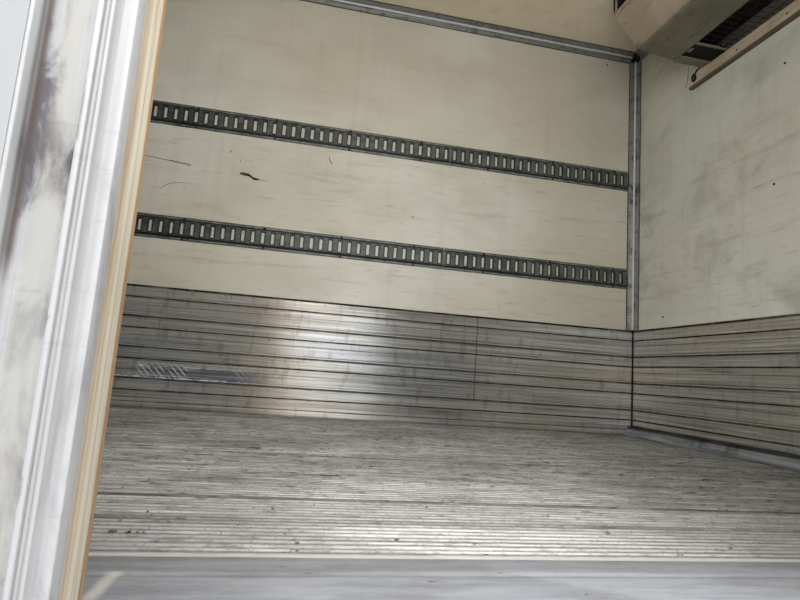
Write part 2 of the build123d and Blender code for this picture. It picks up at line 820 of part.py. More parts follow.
# Evaporator: a housing open at its front under the ceiling, with the coil inside it
def unit_point(back, drop):
    """Give a point of the unit's section from its distances to the bulkhead and the ceiling."""
    return (bulkhead - back, ceiling - drop)


with BuildPart() as evaporator_housing:
    with BuildSketch(Plane.XZ.offset(-housing_width / 2 + housing_end)):
        with BuildLine():
            underside = Polyline(unit_point(*housing_rear), unit_point(*housing_toe), unit_point(*housing_nose))
            offset(underside, amount=housing_sheet, side=Side.RIGHT, kind=Kind.INTERSECTION)
        make_face()
    extrude(amount=housing_width - 2 * housing_end)
    for side in (-1, 1):
        with BuildSketch(Plane.XZ.offset(side * (housing_width - housing_end) / 2)):
            with BuildLine():
                Polyline(
                    unit_point(0.0, housing_rear[1]),
                    unit_point(*housing_rear),
                    unit_point(*housing_toe),
                    unit_point(*housing_nose),
                    unit_point(housing_nose[0], 0.0),
                    unit_point(0.0, 0.0),
                    close=True,
                )
            make_face()
        extrude(amount=housing_end / 2, both=True)
save(evaporator_housing, "evaporator_housing")

with BuildPart() as evaporator_coil:
    with BuildSketch(Plane.XZ.offset(-housing_width / 2 + housing_end + coil_side_gap)):
        with BuildLine():
            Polyline(
                unit_point(0.0, neck_drop + neck_height),
                unit_point(housing_rear[0], neck_drop + neck_height),
                unit_point(coil_front, housing_nose[1] - coil_rise),
                unit_point(coil_front, 0.0),
                unit_point(0.0, 0.0),
                close=True,
            )
        make_face()
    extrude(amount=housing_width - 2 * housing_end - 2 * coil_side_gap)
save(evaporator_coil, "evaporator_coil")

# Strips across the return air slot, from the batten's top to the housing's rear edge
strip_base = ceiling - housing_rear[1] - strip_thickness
with BuildPart() as evaporator_strips:
    with BuildSketch(Plane.XY.offset(strip_base)):
        for strip_place, strip_width in strip_rows:
            for side in (-1, 1):
                with Locations((bulkhead - housing_rear[0] / 2, side * strip_place)):
                    Rectangle(housing_rear[0], strip_width)
    extrude(amount=strip_thickness)
save(evaporator_strips, "evaporator_strips")

# Guard lying on the two inner strips: crossed bars in a frame
with BuildPart() as return_air_guard:
    guard_length = 2 * strip_rows[1][0]
    guard_depth = housing_rear[0] - guard_end_gap
    with BuildSketch(Plane.XY.offset(strip_base + strip_thickness)):
        with Locations((bulkhead - guard_depth / 2, 0)):
            Rectangle(guard_depth, guard_length)
            Rectangle(guard_depth - 2 * guard_frame, guard_length - 2 * guard_frame, mode=Mode.SUBTRACT)
            Rectangle(guard_bar, guard_length - guard_frame)
            with GridLocations(1, guard_pitch, 1, int(guard_length // guard_pitch) - 1):
                Rectangle(guard_depth - guard_frame, guard_bar)
    extrude(amount=guard_bar)
save(return_air_guard, "return_air_guard")

# Batten screwed to the bulkhead under the unit
with BuildPart() as bulkhead_batten:
    with BuildSketch(Plane.YZ.offset(bulkhead - batten_thickness)):
        with Locations((0, strip_base - batten_height / 2)):
            Rectangle(batten_length, batten_height)
    extrude(amount=batten_thickness)
save(bulkhead_batten, "bulkhead_batten")


# Condensing unit on the front of the body, its neck filling the opening in the bulkhead
unit_top = ceiling - unit_drop
unit_base = unit_top - unit_height
unit_front = front_face + unit_depth
grille_middle = (unit_top + unit_base) / 2

with BuildPart() as condenser_housing:
    with BuildSketch(Plane.XZ.offset(-unit_width / 2)):
        with BuildLine():
            Polyline(
                (front_face, unit_base),
                (unit_front - unit_slope, unit_base),
                (unit_front, unit_base + unit_slope),
                (unit_front, unit_top - unit_slope),
                (unit_front - unit_slope, unit_top),
                (front_face, unit_top),
                close=True,
            )
        make_face()
    extrude(amount=unit_width)
    fillet(edges().filter_by(Axis.Z).group_by(Axis.X)[-1], radius=unit_fillet)
    with BuildSketch(Plane.YZ.offset(unit_front)):
        with Locations((0, grille_middle)):
            Rectangle(grille_width, grille_height)
    extrude(amount=-2 * grille_depth, mode=Mode.SUBTRACT)
    with BuildSketch(Plane.YZ.offset(bulkhead)):
        with Locations((0, neck_middle)):
            Rectangle(neck_width, neck_height)
    extrude(amount=front_wall)
save(condenser_housing, "condenser_housing")

with BuildPart() as condenser_grille:
    with BuildSketch(Plane.YZ.offset(unit_front - 2 * grille_depth)):
        with Locations((0, grille_middle)):
            Rectangle(grille_width, grille_height)
            Rectangle(grille_width - 2 * grille_depth, grille_height - 2 * grille_depth, mode=Mode.SUBTRACT)
            with GridLocations(1, grille_height / (grille_slats + 1), 1, grille_slats):
                Rectangle(grille_width - grille_depth, grille_depth / 2)
    extrude(amount=grille_depth)
save(condenser_grille, "condenser_grille")


# Marker lamps: a row high on each end, and one low at each end of both sides
with BuildPart() as marker_lamps:
    lamp_level = roof_top - header_height / 3
    for lamp_row in lamp_rows:
        for face, away in ((front_face, 1), (rear_face, -1)):
            with BuildSketch(Plane.YZ.offset(face)):
                with Locations((lamp_row * half_outer, lamp_level)):
                    Rectangle(lamp_length, lamp_height)
            extrude(amount=away * lamp_depth, taper=lamp_slope)
    for side in (-1, 1):
        for lamp_x in (rear_wall_end + lamp_length, front_face - corner_leg - lamp_length):
            with BuildSketch(Plane.XZ.offset(-side * (half_outer + rail_sheet))):
                with Locations((lamp_x, wall_base + rail_leg / 2)):
                    Rectangle(lamp_length, lamp_height)
            extrude(amount=-side * lamp_depth, taper=lamp_slope)
save(marker_lamps, "marker_lamps")
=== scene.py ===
"""Looks of an insulated truck cargo box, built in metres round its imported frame.

Each sub-assembly is a class that holds its sizes and makes its own pieces. The finishes are small
classes too, and every one of them is worked out from places on the object.
"""

from __future__ import annotations

import json
import logging
import math
from collections.abc import Iterable, Sequence
from dataclasses import dataclass
from enum import Enum

import bmesh
import bpy
from mathutils import Matrix, Vector
from mathutils import noise as waves

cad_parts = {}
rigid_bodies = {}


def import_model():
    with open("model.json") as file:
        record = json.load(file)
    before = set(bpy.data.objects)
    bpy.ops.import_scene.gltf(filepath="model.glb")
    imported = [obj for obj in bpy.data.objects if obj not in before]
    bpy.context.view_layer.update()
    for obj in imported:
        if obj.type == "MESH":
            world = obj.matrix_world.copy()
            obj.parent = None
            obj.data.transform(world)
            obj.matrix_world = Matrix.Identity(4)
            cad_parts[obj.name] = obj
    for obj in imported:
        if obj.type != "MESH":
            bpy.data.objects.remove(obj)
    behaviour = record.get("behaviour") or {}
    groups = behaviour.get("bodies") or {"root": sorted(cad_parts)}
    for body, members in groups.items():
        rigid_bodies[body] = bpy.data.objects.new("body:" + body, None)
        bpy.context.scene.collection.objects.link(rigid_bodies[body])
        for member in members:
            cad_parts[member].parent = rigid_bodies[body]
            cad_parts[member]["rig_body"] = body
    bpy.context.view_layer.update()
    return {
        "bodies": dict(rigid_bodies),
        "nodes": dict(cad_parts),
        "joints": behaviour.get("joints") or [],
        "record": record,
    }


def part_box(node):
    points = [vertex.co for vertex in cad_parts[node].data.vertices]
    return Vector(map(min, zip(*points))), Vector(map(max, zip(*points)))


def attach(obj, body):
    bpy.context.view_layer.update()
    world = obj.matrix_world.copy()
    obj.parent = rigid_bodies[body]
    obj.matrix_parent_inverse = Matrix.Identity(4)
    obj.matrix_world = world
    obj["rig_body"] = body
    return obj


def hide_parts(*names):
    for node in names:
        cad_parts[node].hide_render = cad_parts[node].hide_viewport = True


log = logging.getLogger("cargo_box")

Pair = tuple[float, float]
Point = tuple[float, float, float]
Color = tuple[float, float, float, float]
Socket = bpy.types.NodeSocket

BOX = "cargo_box"
WEAR_SEED = 7
HANDS = (-1, 1)
WELD = 0.00002
FRAME_BAND = 0.059
NOSE_DROP = 0.222
DOORWAY_MARGIN = 0.029


class Axis(Enum):
    """Directions of the shared frame."""

    X = 0
    Y = 1
    Z = 2

    def point(self, first: float, second: float, along: float) -> Point:
        """Place a section's point at a distance along this axis.

        Args:
            first: The point's first place across the axis.
            second: Its second place across the axis.
            along: Its place along the axis.

        Returns:
            The point.
        """
        if self is Axis.X:
            return (along, first, second)
        if self is Axis.Y:
            return (first, along, second)
        return (first, second, along)

    def stretch(self, along: float, across: float) -> Point:
        """Give one number along this axis and another along the other two."""
        return tuple(along if index == self.value else across for index in range(3))


class Coat(Enum):
    """Finishes that the pieces wear."""

    PANEL = "panel"
    DOOR_SKIN = "door_skin"
    UNDERSIDE = "underside"
    TRIM = "trim"
    FRAME = "frame"
    RAIL = "rail"
    SCUFF = "scuff"
    FLOOR = "floor"
    PLATE = "plate"
    FLASHING = "flashing"
    TRACK = "track"
    BLACK_STEEL = "black_steel"
    ZINC = "zinc"
    JAMB_WOOD = "jamb_wood"
    BATTEN_WOOD = "batten_wood"
    RUBBER = "rubber"
    UNIT_SHELL = "unit_shell"
    NOSE_SHELL = "nose_shell"
    COIL = "coil"
    WIRE = "wire"
    LENS = "lens"
    DARK_GAP = "dark_gap"
    STAGE = "stage"


def tone(red: float, green: float, blue: float) -> Color:
    """Turn a colour written as 0 to 255 into the linear values that shaders take.

    Args:
        red, green, blue: The colour as a screen shows it.

    Returns:
        The linear colour with full opacity.
    """

    def linear(level: float) -> float:
        share = level / 255
        return share / 12.92 if share <= 0.04045 else ((share + 0.055) / 1.055) ** 2.4

    return (linear(red), linear(green), linear(blue), 1.0)


@dataclass(frozen=True)
class Shell:
    """Main planes of the box, read from the frame."""

    half_inner: float
    half_outer: float
    floor: float
    ceiling: float
    wall_base: float
    bulkhead: float
    front: float

    @classmethod
    def read(cls) -> Shell:
        """Read the planes from the frame's nodes."""
        left_low, left_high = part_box("left_wall")
        front_low, front_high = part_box("front_wall")
        return cls(
            half_inner=left_low.y,
            half_outer=left_high.y,
            floor=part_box("ribbed_floor")[1].z,
            ceiling=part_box("roof_panel")[0].z,
            wall_base=left_low.z,
            bulkhead=front_low.x,
            front=front_high.x,
        )


class Level:
    """A number that varies over a surface, worked out by the nodes of its material."""

    def __init__(self, graph: Graph, socket: Socket) -> None:
        """Hold the output that carries the number.

        Args:
            graph: The material's nodes.
            socket: The output.
        """
        self.graph = graph
        self.socket = socket

    def __add__(self, other: Level | float) -> Level:
        """Add a number."""
        return self.graph.math("ADD", self, other)

    def __sub__(self, other: Level | float) -> Level:
        """Take a number away."""
        return self.graph.math("SUBTRACT", self, other)

    def __rsub__(self, other: float) -> Level:
        """Take this number away from a plain one."""
        return self.graph.math("SUBTRACT", other, self)

    def __mul__(self, other: Level | float) -> Level:
        """Multiply by a number, which for two shares gives the part that both cover."""
        return self.graph.math("MULTIPLY", self, other)

    def __or__(self, other: Level) -> Level:
        """Give the larger number, which for two shares gives what either covers."""
        return self.graph.math("MAXIMUM", self, other)

    def plain(self) -> Level:
        """Give the number without its sign."""
        return self.graph.math("ABSOLUTE", self)

    def span(self, low: float, high: float, start: float = 0.0, end: float = 1.0) -> Level:
        """Map a range of the number to another range, smoothly and within its ends.

        Args:
            low: The number that becomes the start.
            high: The number that becomes the end.
            start: What the low number becomes.
            end: What the high number becomes.

        Returns:
            The mapped number.
        """
        node = self.graph.put("ShaderNodeMapRange")
        node.interpolation_type = "SMOOTHSTEP"
        self.graph.feed(node.inputs["Value"], self)
        for name, number in (("From Min", low), ("From Max", high), ("To Min", start), ("To Max", end)):
            node.inputs[name].default_value = number
        return Level(self.graph, node.outputs[0])

    def near(self, place: float, reach: float) -> Level:
        """Give 1 where the number is at a place, falling to 0 at a distance from it."""
        return (self - place).plain().span(0.0, reach, 1.0, 0.0)

    def away(self, start: float, pitch: float) -> Level:
        """Give the distance from the nearest of evenly spaced places."""
        steps = self.graph.math("DIVIDE", self - (start - pitch / 2), pitch)
        return (self.graph.math("FRACT", steps) - 0.5).plain() * pitch

    def repeat(self, start: float, pitch: float, reach: float) -> Level:
        """Give 1 at evenly spaced places, falling to 0 at a distance from each."""
        return self.away(start, pitch).span(0.0, reach, 1.0, 0.0)


class Graph:
    """A material's nodes, with short calls for the ones that the finishes use."""

    def __init__(self, name: str, metallic: float = 0.0, specular: float = 0.5) -> None:
        """Make the material with its shader and the place on the object.

        Args:
            name: The material's name.
            metallic: How metallic the whole surface is.
            specular: Strength of the plain reflection.
        """
        self.material = bpy.data.materials.new(name)
        self.material.use_nodes = True
        self.tree = self.material.node_tree
        self.tree.nodes.clear()
        self.shader = self.put("ShaderNodeBsdfPrincipled")
        self.shader.inputs["Metallic"].default_value = metallic
        self.shader.inputs["Specular IOR Level"].default_value = specular
        output = self.put("ShaderNodeOutputMaterial")
        self.tree.links.new(self.shader.outputs[0], output.inputs[0])
        self.place = self.put("ShaderNodeTexCoord").outputs["Object"]
        split = self.put("ShaderNodeSeparateXYZ")
        self.tree.links.new(self.place, split.inputs[0])
        self.x, self.y, self.z = (Level(self, socket) for socket in split.outputs)

    def put(self, kind: str) -> bpy.types.Node:
        """Add a node of a kind."""
        return self.tree.nodes.new(kind)

    def feed(self, socket: Socket, value: Level | Socket | float | Sequence[float]) -> None:
        """Link a socket to another, or set it to a plain value.

        Args:
            socket: The input.
            value: What goes into it.
        """
        if isinstance(value, Level):
            value = value.socket
        if isinstance(value, bpy.types.NodeSocket):
            self.tree.links.new(value, socket)
        else:
            socket.default_value = value

    def math(self, operation: str, first: Level | float, second: Level | float = 0.0) -> Level:
        """Work out a number from two others.

        Args:
            operation: The math node's operation.
            first: The first number.
            second: The second number.

        Returns:
            The result.
        """
        node = self.put("ShaderNodeMath")
        node.operation = operation
        self.feed(node.inputs[0], first)
        self.feed(node.inputs[1], second)
        return Level(self, node.outputs[0])

    def noise(
        self, fineness: float | Point, detail: float = 4.0, rough: float = 0.55, bend: float = 0.0,
        scale: float = 1.0,
    ) -> Level:
        """Make noise over the object.

        Args:
            fineness: Features for each metre, for all directions or for each.
            detail: Number of finer layers.
            rough: Strength of the finer layers.
            bend: How much the noise warps itself.
            scale: How many times finer the noise is, where each direction has its own fineness.

        Returns:
            The noise, from 0 to 1 with its middle near 0.5.
        """
        if isinstance(fineness, float):
            scale, fineness = fineness, (1.0, 1.0, 1.0)
        vector = self.put("ShaderNodeVectorMath")
        vector.operation = "MULTIPLY"
        self.feed(vector.inputs[0], self.place)
        vector.inputs[1].default_value = fineness
        node = self.put("ShaderNodeTexNoise")
        self.feed(node.inputs["Vector"], vector.outputs[0])
        settings = {"Scale": scale, "Detail": detail, "Roughness": rough, "Distortion": bend}
        for name, number in settings.items():
            node.inputs[name].default_value = number
        return Level(self, node.outputs[0])

    def blend(self, share: Level, first: Socket | Color, second: Socket | Color) -> Socket:
        """Mix two colours by the share of the second.

        Args:
            share: The share of the second colour.
            first: The first colour.
            second: The second colour.

        Returns:
            The mixed colour.
        """
        node = self.put("ShaderNodeMix")
        node.data_type = "RGBA"
        self.feed(node.inputs[0], share)
        self.feed(node.inputs[6], first)
        self.feed(node.inputs[7], second)
        return node.outputs[2]

    def layers(self, base: Socket | Color, *coats: tuple[Level, Socket | Color]) -> Socket:
        """Lay colours over a base one after another.

        Args:
            base: The colour beneath.
            coats: The share and the colour of each coat.

        Returns:
            The colour that shows.
        """
        for share, color in coats:
            base = self.blend(share, base, color)
        return base

    def dress(
        self, color: Socket | Color, roughness: Level | float, relief: Level | None = None,
        depth: float = 0.0005, strength: float = 1.0,
    ) -> bpy.types.Material:
        """Feed the shader and give the finished material.

        Args:
            color: The surface colour.
            roughness: The surface roughness.
            relief: Height of the surface, from 0 to 1.
            depth: Height of the relief in metres.
            strength: How much of the relief is used.

        Returns:
            The material.
        """
        self.feed(self.shader.inputs["Base Color"], color)
        self.feed(self.shader.inputs["Roughness"], roughness)
        if relief is not None:
            bump = self.put("ShaderNodeBump")
            bump.inputs["Strength"].default_value = strength
            bump.inputs["Distance"].default_value = depth
            self.feed(bump.inputs["Height"], relief)
            self.feed(self.shader.inputs["Normal"], bump.outputs[0])
        return self.material


@dataclass(frozen=True)
class PanelFinish:
    """Laminated panel: aged cream lining inside the box, white skin outside it."""

    shell: Shell
    slot_level: float
    lining: Color = tone(208, 205, 192)
    lining_shade: Color = tone(194, 188, 171)
    lining_front: Color = tone(210, 211, 198)
    # Painted light: the bulkhead's lower part, lit as if by light bounced off the floor.
    lining_foot_lit: Color = tone(226, 227, 215)
    lining_above: Color = tone(228, 215, 190)
    smear: Color = tone(142, 133, 115)
    green_smear: Color = tone(140, 140, 118)
    # Colour of the specks, and of the painted shadow above the return air slot.
    speck_and_shadow: Color = tone(84, 74, 58)
    skin: Color = tone(206, 208, 210)
    skin_shade: Color = tone(192, 194, 195)

    def lining_color(self, graph: Graph) -> Socket:
        """Give the lining's colour: smudged where cargo rubs, cleaner above, blotched at the front, with
        painted light on the bulkhead's foot, painted shade towards the front corners and a painted shadow
        above the return air slot.

        Args:
            graph: The panel's nodes.

        Returns:
            The colour.
        """
        shell = self.shell
        broad = graph.noise((1.0, 1.0, 1.4), 3.0, scale=0.8)
        smears = graph.noise((1.6, 1.6, 17.0), 8.0, 0.66).span(0.52, 0.72)
        smudges = graph.noise((8.0, 8.0, 60.0), 5.0, 0.66, 0.3).span(0.56, 0.68)
        spots = graph.noise((24.0, 24.0, 36.0), 4.0, 0.7).span(0.66, 0.70)
        upright = graph.noise((15.0, 15.0, 0.9), 4.0, 0.6).span(0.54, 0.72)
        clouds = graph.noise((1.0, 1.0, 1.7), 7.0, 0.62, scale=2.4).span(0.44, 0.72)
        rubs = graph.noise((3.4, 3.4, 260.0), 3.0, 0.6).span(0.60, 0.72)
        specks = graph.noise((1.0, 1.0, 1.3), 5.0, 0.7, 0.6, 46.0).span(0.715, 0.76)
        blotches = graph.noise((1.0, 1.0, 1.2), 7.0, 0.66, 0.5, 3.1).span(0.48, 0.70)
        runs = graph.noise((16.0, 16.0, 2.2), 5.0, 0.6).span(0.52, 0.74)
        low = graph.z.span(shell.floor + 1.35, shell.floor + 1.75, 1.0, 0.30)
        ahead = graph.x.span(shell.bulkhead - 0.02, shell.bulkhead - 0.005)
        above = graph.z.span(shell.ceiling - 0.02, shell.ceiling - 0.005)
        # Painted shade towards the front corners.
        corner = graph.x.span(shell.bulkhead - 0.9, shell.bulkhead - 0.05, 0.0, 0.3)
        # Painted shadow on the bulkhead inside the unit, above the return air slot.
        past_slot = graph.z.span(self.slot_level - 0.004, self.slot_level + 0.002)
        slot = past_slot * graph.y.plain().span(0.66, 0.61)
        return graph.layers(
            self.lining_shade,
            (broad.span(0.38, 0.62), self.lining),
            (ahead, self.lining_front),
            # Painted light: lighter towards the bulkhead's foot, as if lit from the floor.
            (ahead * graph.z.span(shell.floor + 1.5, shell.floor + 0.7), self.lining_foot_lit),
            (above, self.lining_above),
            # Painted shade: the lining darker towards the front corners.
            (corner * broad.span(0.6, 0.4), self.lining_shade),
            (clouds * 0.18, self.smear),
            (smears * (low * 0.36), self.smear),
            (smudges * (low * 0.26), self.smear),
            (upright * 0.10, self.smear),
            (spots * (low * 0.42), self.smear),
            (rubs * (low * 0.20), self.smear),
            (blotches * (ahead * 0.42), self.green_smear),
            (runs * (ahead * 0.16), self.green_smear),
            # Painted shadow above the return air slot.
            (slot * (ahead * 0.85), self.speck_and_shadow),
            (specks * 0.55, self.speck_and_shadow),
        )

    def skin_color(self, graph: Graph) -> Socket:
        """Give the outer skin's colour, with faint runs of rain and road dirt at its foot."""
        base = self.shell.wall_base
        broad = graph.noise((1.0, 1.0, 1.5), 3.0, scale=0.9)
        runs = graph.noise((9.0, 9.0, 0.7), 5.0, 0.6).span(0.50, 0.76)
        splash = graph.noise(14.0, 6.0, 0.7).span(0.46, 0.7)
        return graph.layers(
            self.skin_shade,
            (broad.span(0.3, 0.7), self.skin),
            (runs * (graph.z.span(base, base + 0.6, 1.0, 0.22) * 0.5), self.smear),
            (splash * graph.z.span(base, base + 0.35, 0.5, 0.0), self.smear),
        )

    def build(self, name: str) -> bpy.types.Material:
        """Make the panel's material under a name.

        Args:
            name: The material's name.

        Returns:
            The material.
        """
        graph = Graph(name)
        hair = 0.0006
        beside = graph.math("LESS_THAN", graph.y.plain(), self.shell.half_inner + hair)
        below = graph.math("LESS_THAN", graph.z, self.shell.ceiling + hair)
        behind = graph.math("LESS_THAN", graph.x, self.shell.bulkhead + hair)
        color = graph.blend(beside * below * behind, self.skin_color(graph), self.lining_color(graph))
        rough = graph.noise(6.0).span(0.3, 0.7, 0.36, 0.55)
        return graph.dress(color, rough, graph.noise(30.0, 3.0), 0.0006, 0.35)


@dataclass(frozen=True)
class MetalFinish:
    """Bare metal with a grain, scratches and dirt, with painted shade between two heights where asked."""

    light: Color
    shade: Color
    dirt: Color = tone(70, 64, 54)
    roughness: float = 0.36
    grain: Axis = Axis.X
    grain_scale: float = 260.0
    dirt_share: float = 0.35
    dirt_scale: float = 5.0
    metallic: float = 1.0
    painted_shade_heights: Pair = (0.0, 0.0)
    painted_shade_share: float = 0.92

    def build(self, name: str) -> bpy.types.Material:
        """Make the metal's material under a name, with painted shade that darkens it towards the second of
        the two heights if they differ.

        Args:
            name: The material's name.

        Returns:
            The material.
        """
        graph = Graph(name, metallic=self.metallic)
        grain = graph.noise(self.grain.stretch(2.5, self.grain_scale), 3.0, 0.6)
        along = self.grain.stretch(6.0, self.grain_scale * 0.35)
        scratches = graph.noise(along, 2.0, 0.5, 1.2).span(0.62, 0.68)
        clouds = graph.noise(self.dirt_scale, 8.0, 0.65)
        broad = graph.noise(1.6, 3.0)
        color = graph.layers(
            self.shade,
            (grain.span(0.35, 0.65), self.light),
            (broad.span(0.4, 0.7, 0.0, 0.35), self.shade),
            (scratches * 0.5, self.light),
            (clouds.span(0.48, 0.72) * self.dirt_share, self.dirt),
        )
        # Painted shade: darker towards the second height.
        if self.painted_shade_heights[0] != self.painted_shade_heights[1]:
            color = graph.blend(graph.z.span(*self.painted_shade_heights, 0.0, self.painted_shade_share), color, tone(18, 16, 14))
        rough = clouds.span(0.3, 0.7, -0.07, 0.16) + self.roughness
        return graph.dress(color, rough, grain + broad * 2.0, 0.0004, 0.3)


@dataclass(frozen=True)
class ScuffFinish:
    """Plank lining of a load space: brushed metal, with grime and painted shadow along its lines, a painted
    warm reflection, painted shade across the middle and painted highlights above the joints.
    """

    shell: Shell
    pitch: float = 0.1524
    first_joint: float = 0.145
    groove_rise: float = 0.096
    head: float = 0.6096
    seam: float = 1.155
    slash_step: float = 0.030
    bursts: tuple[Pair, ...] = ((-0.545, 0.055), (-0.480, 0.035), (-0.385, 0.075), (-0.080, 0.055))
    light: Color = tone(214, 213, 208)
    shade: Color = tone(176, 174, 168)
    # Warm tint, also used for the painted reflection of the doorway's wood edge.
    warm_and_reflected: Color = tone(204, 188, 166)
    cool: Color = tone(176, 187, 202)
    # Dull tone of the dented part, also used for painted shade.
    dull: Color = tone(112, 122, 136)
    bare: Color = tone(232, 235, 240)
    film: Color = tone(96, 93, 85)
    grime_and_shadow: Color = tone(22, 20, 17)

    def slashes(self, graph: Graph) -> Level:
        """Give the bright slashes that loads left above the lowest joint, and the rubbed edges there.

        Args:
            graph: The planks' nodes.

        Returns:
            1 in a slash and 0 away from it.
        """
        foot = self.shell.floor + self.first_joint
        bend = graph.noise(2.0, 2.0) * 0.03
        slanted = graph.x + graph.z + bend
        burst = graph.x.near(*self.bursts[0])
        for place, reach in self.bursts[1:]:
            burst = burst | graph.x.near(place, reach)
        torn = burst.span(0.0, 0.5) * graph.noise((14.0, 14.0, 8.0), 2.0, 0.5).span(0.40, 0.50)
        along = graph.x.span(-0.80, -0.64) * graph.x.span(0.02, -0.16)
        across = graph.z.span(foot + 0.003, foot + 0.009) * graph.z.span(foot + 0.096, foot + 0.060)
        cuts = slanted.repeat(0.0, self.slash_step, 0.0044) * torn * across
        frayed = graph.noise((34.0, 34.0, 60.0), 4.0, 0.65).span(0.44, 0.56)
        edges = graph.z.near(foot + 0.010, 0.0075) | graph.z.near(foot + 0.066, 0.0045)
        return (cuts | edges * frayed * 0.8) * along

    def lines(self, graph: Graph) -> Level:
        """Give the grime and painted shadow of the joints, the scored lines, the foot and the rim.

        Args:
            graph: The planks' nodes.

        Returns:
            The share of grime and painted shadow.
        """
        floor = self.shell.floor
        joint = floor + self.first_joint
        joints = graph.z.away(joint, self.pitch).span(0.0030, 0.0054, 1.0, 0.0)
        rises = graph.z.away(joint + self.groove_rise, self.pitch).span(0.0020, 0.0044, 1.0, 0.0)
        second = graph.z.repeat(joint + 0.0125, self.pitch, 0.0034)
        faint = graph.z.repeat(joint + 0.0615, self.pitch, 0.0030)
        rim = graph.z.near(floor + self.head - 0.011, 0.0040)
        step = graph.z.near(floor + 0.0335, 0.0036)
        root = graph.z.span(floor, floor + 0.010, 1.0, 0.0)
        return (joints | (rises | (rim | step))) | (second * 0.5 | faint * 0.3) | root * 0.8

    def build(self, name: str) -> bpy.types.Material:
        """Make the planks' material under a name.

        Args:
            name: The material's name.

        Returns:
            The material.
        """
        graph = Graph(name, metallic=0.66)
        graph.shader.inputs["Anisotropic"].default_value = 0.95
        graph.shader.inputs["Anisotropic Rotation"].default_value = 0.25
        x, y, z = graph.x, graph.y, graph.z
        joint = self.shell.floor + self.first_joint
        bulkhead = self.shell.bulkhead
        brushed = graph.noise((1.2, 1.2, 130.0), 2.0, 0.5)
        streaks = graph.noise((0.8, 0.8, 60.0), 2.0, 0.5)
        patches = graph.noise((1.6, 1.6, 6.0), 2.0, 0.5)
        tints = graph.noise((1.0, 1.0, 7.0), 1.0, 0.5)
        stains = graph.noise((26.0, 26.0, 9.0), 4.0, 0.6)
        specks = graph.noise((44.0, 44.0, 60.0), 2.0, 0.6).span(0.68, 0.72)
        scores = graph.noise((1.8, 1.8, 120.0), 1.0, 0.5).span(0.66, 0.70)
        dark_scores = graph.noise((2.4, 2.4, 100.0), 1.0, 0.5).span(0.64, 0.70)
        uneven = graph.noise((9.0, 9.0, 0.5), 5.0, 0.6).span(0.30, 0.58, 0.6, 1.0)
        seam = x.near(self.seam, 0.0042) * y.span(0.0, 0.1) * z.span(joint - 0.002, joint)
        # Painted shade across the middle of the wall, right of the doorway's reflection.
        worn = x.span(0.24, 0.56) * x.span(1.5, 0.8)
        dented = z.span(joint + 0.003, joint + 0.008) * z.span(joint + 0.065, joint + 0.060)
        dented = dented * (x.span(-0.66, -0.42) * x.span(0.10, -0.14))
        grime_and_shadow = self.lines(graph) * uneven
        slashes = self.slashes(graph)
        color = graph.layers(
            self.shade,
            (brushed.span(0.34, 0.66), self.light),
            (tints.span(0.48, 0.30, 0.0, 0.30), self.warm_and_reflected),
            (tints.span(0.50, 0.68, 0.0, 0.30), self.cool),
            # Painted reflection: a warm tint where the doorway's wood edge is mirrored.
            (x.near(0.06, 0.28) * 0.5, self.warm_and_reflected),
            # Painted shade right of the doorway's reflection.
            (worn * 0.20, self.dull),
            (dented * 0.75, self.dull),
            (streaks.span(0.46, 0.32, 0.0, 0.30), self.film),
            (streaks.span(0.56, 0.70, 0.0, 0.35), self.bare),
            (patches.span(0.46, 0.30, 0.0, 0.20), self.film),
            (stains.span(0.52, 0.70, 0.0, 0.34), self.film),
            (x.span(bulkhead - 0.34, bulkhead - 0.02) * 0.16, self.warm_and_reflected),
            (specks * 0.45, self.film),
            (dark_scores * 0.45, self.film),
            (scores * 0.55, self.bare),
            # Painted highlight: a bright line along the bead just above each joint.
            (z.repeat(joint + 0.0085, self.pitch, 0.0032) * uneven * 0.50, self.bare),
            # Dark lines: partly grime, partly painted shadow below the lips and in the grooves.
            (grime_and_shadow * 0.96, self.grime_and_shadow),
            (seam * 0.9, self.grime_and_shadow),
            (slashes * 0.9, self.bare),
        )
        graph.feed(graph.shader.inputs["Metallic"], slashes.span(0.0, 0.8, 0.66, 0.05))
        rough = patches.span(0.35, 0.7, 0.37, 0.30) + grime_and_shadow * 0.3
        return graph.dress(color, rough, brushed * 0.4 + stains, 0.0006, 0.12)


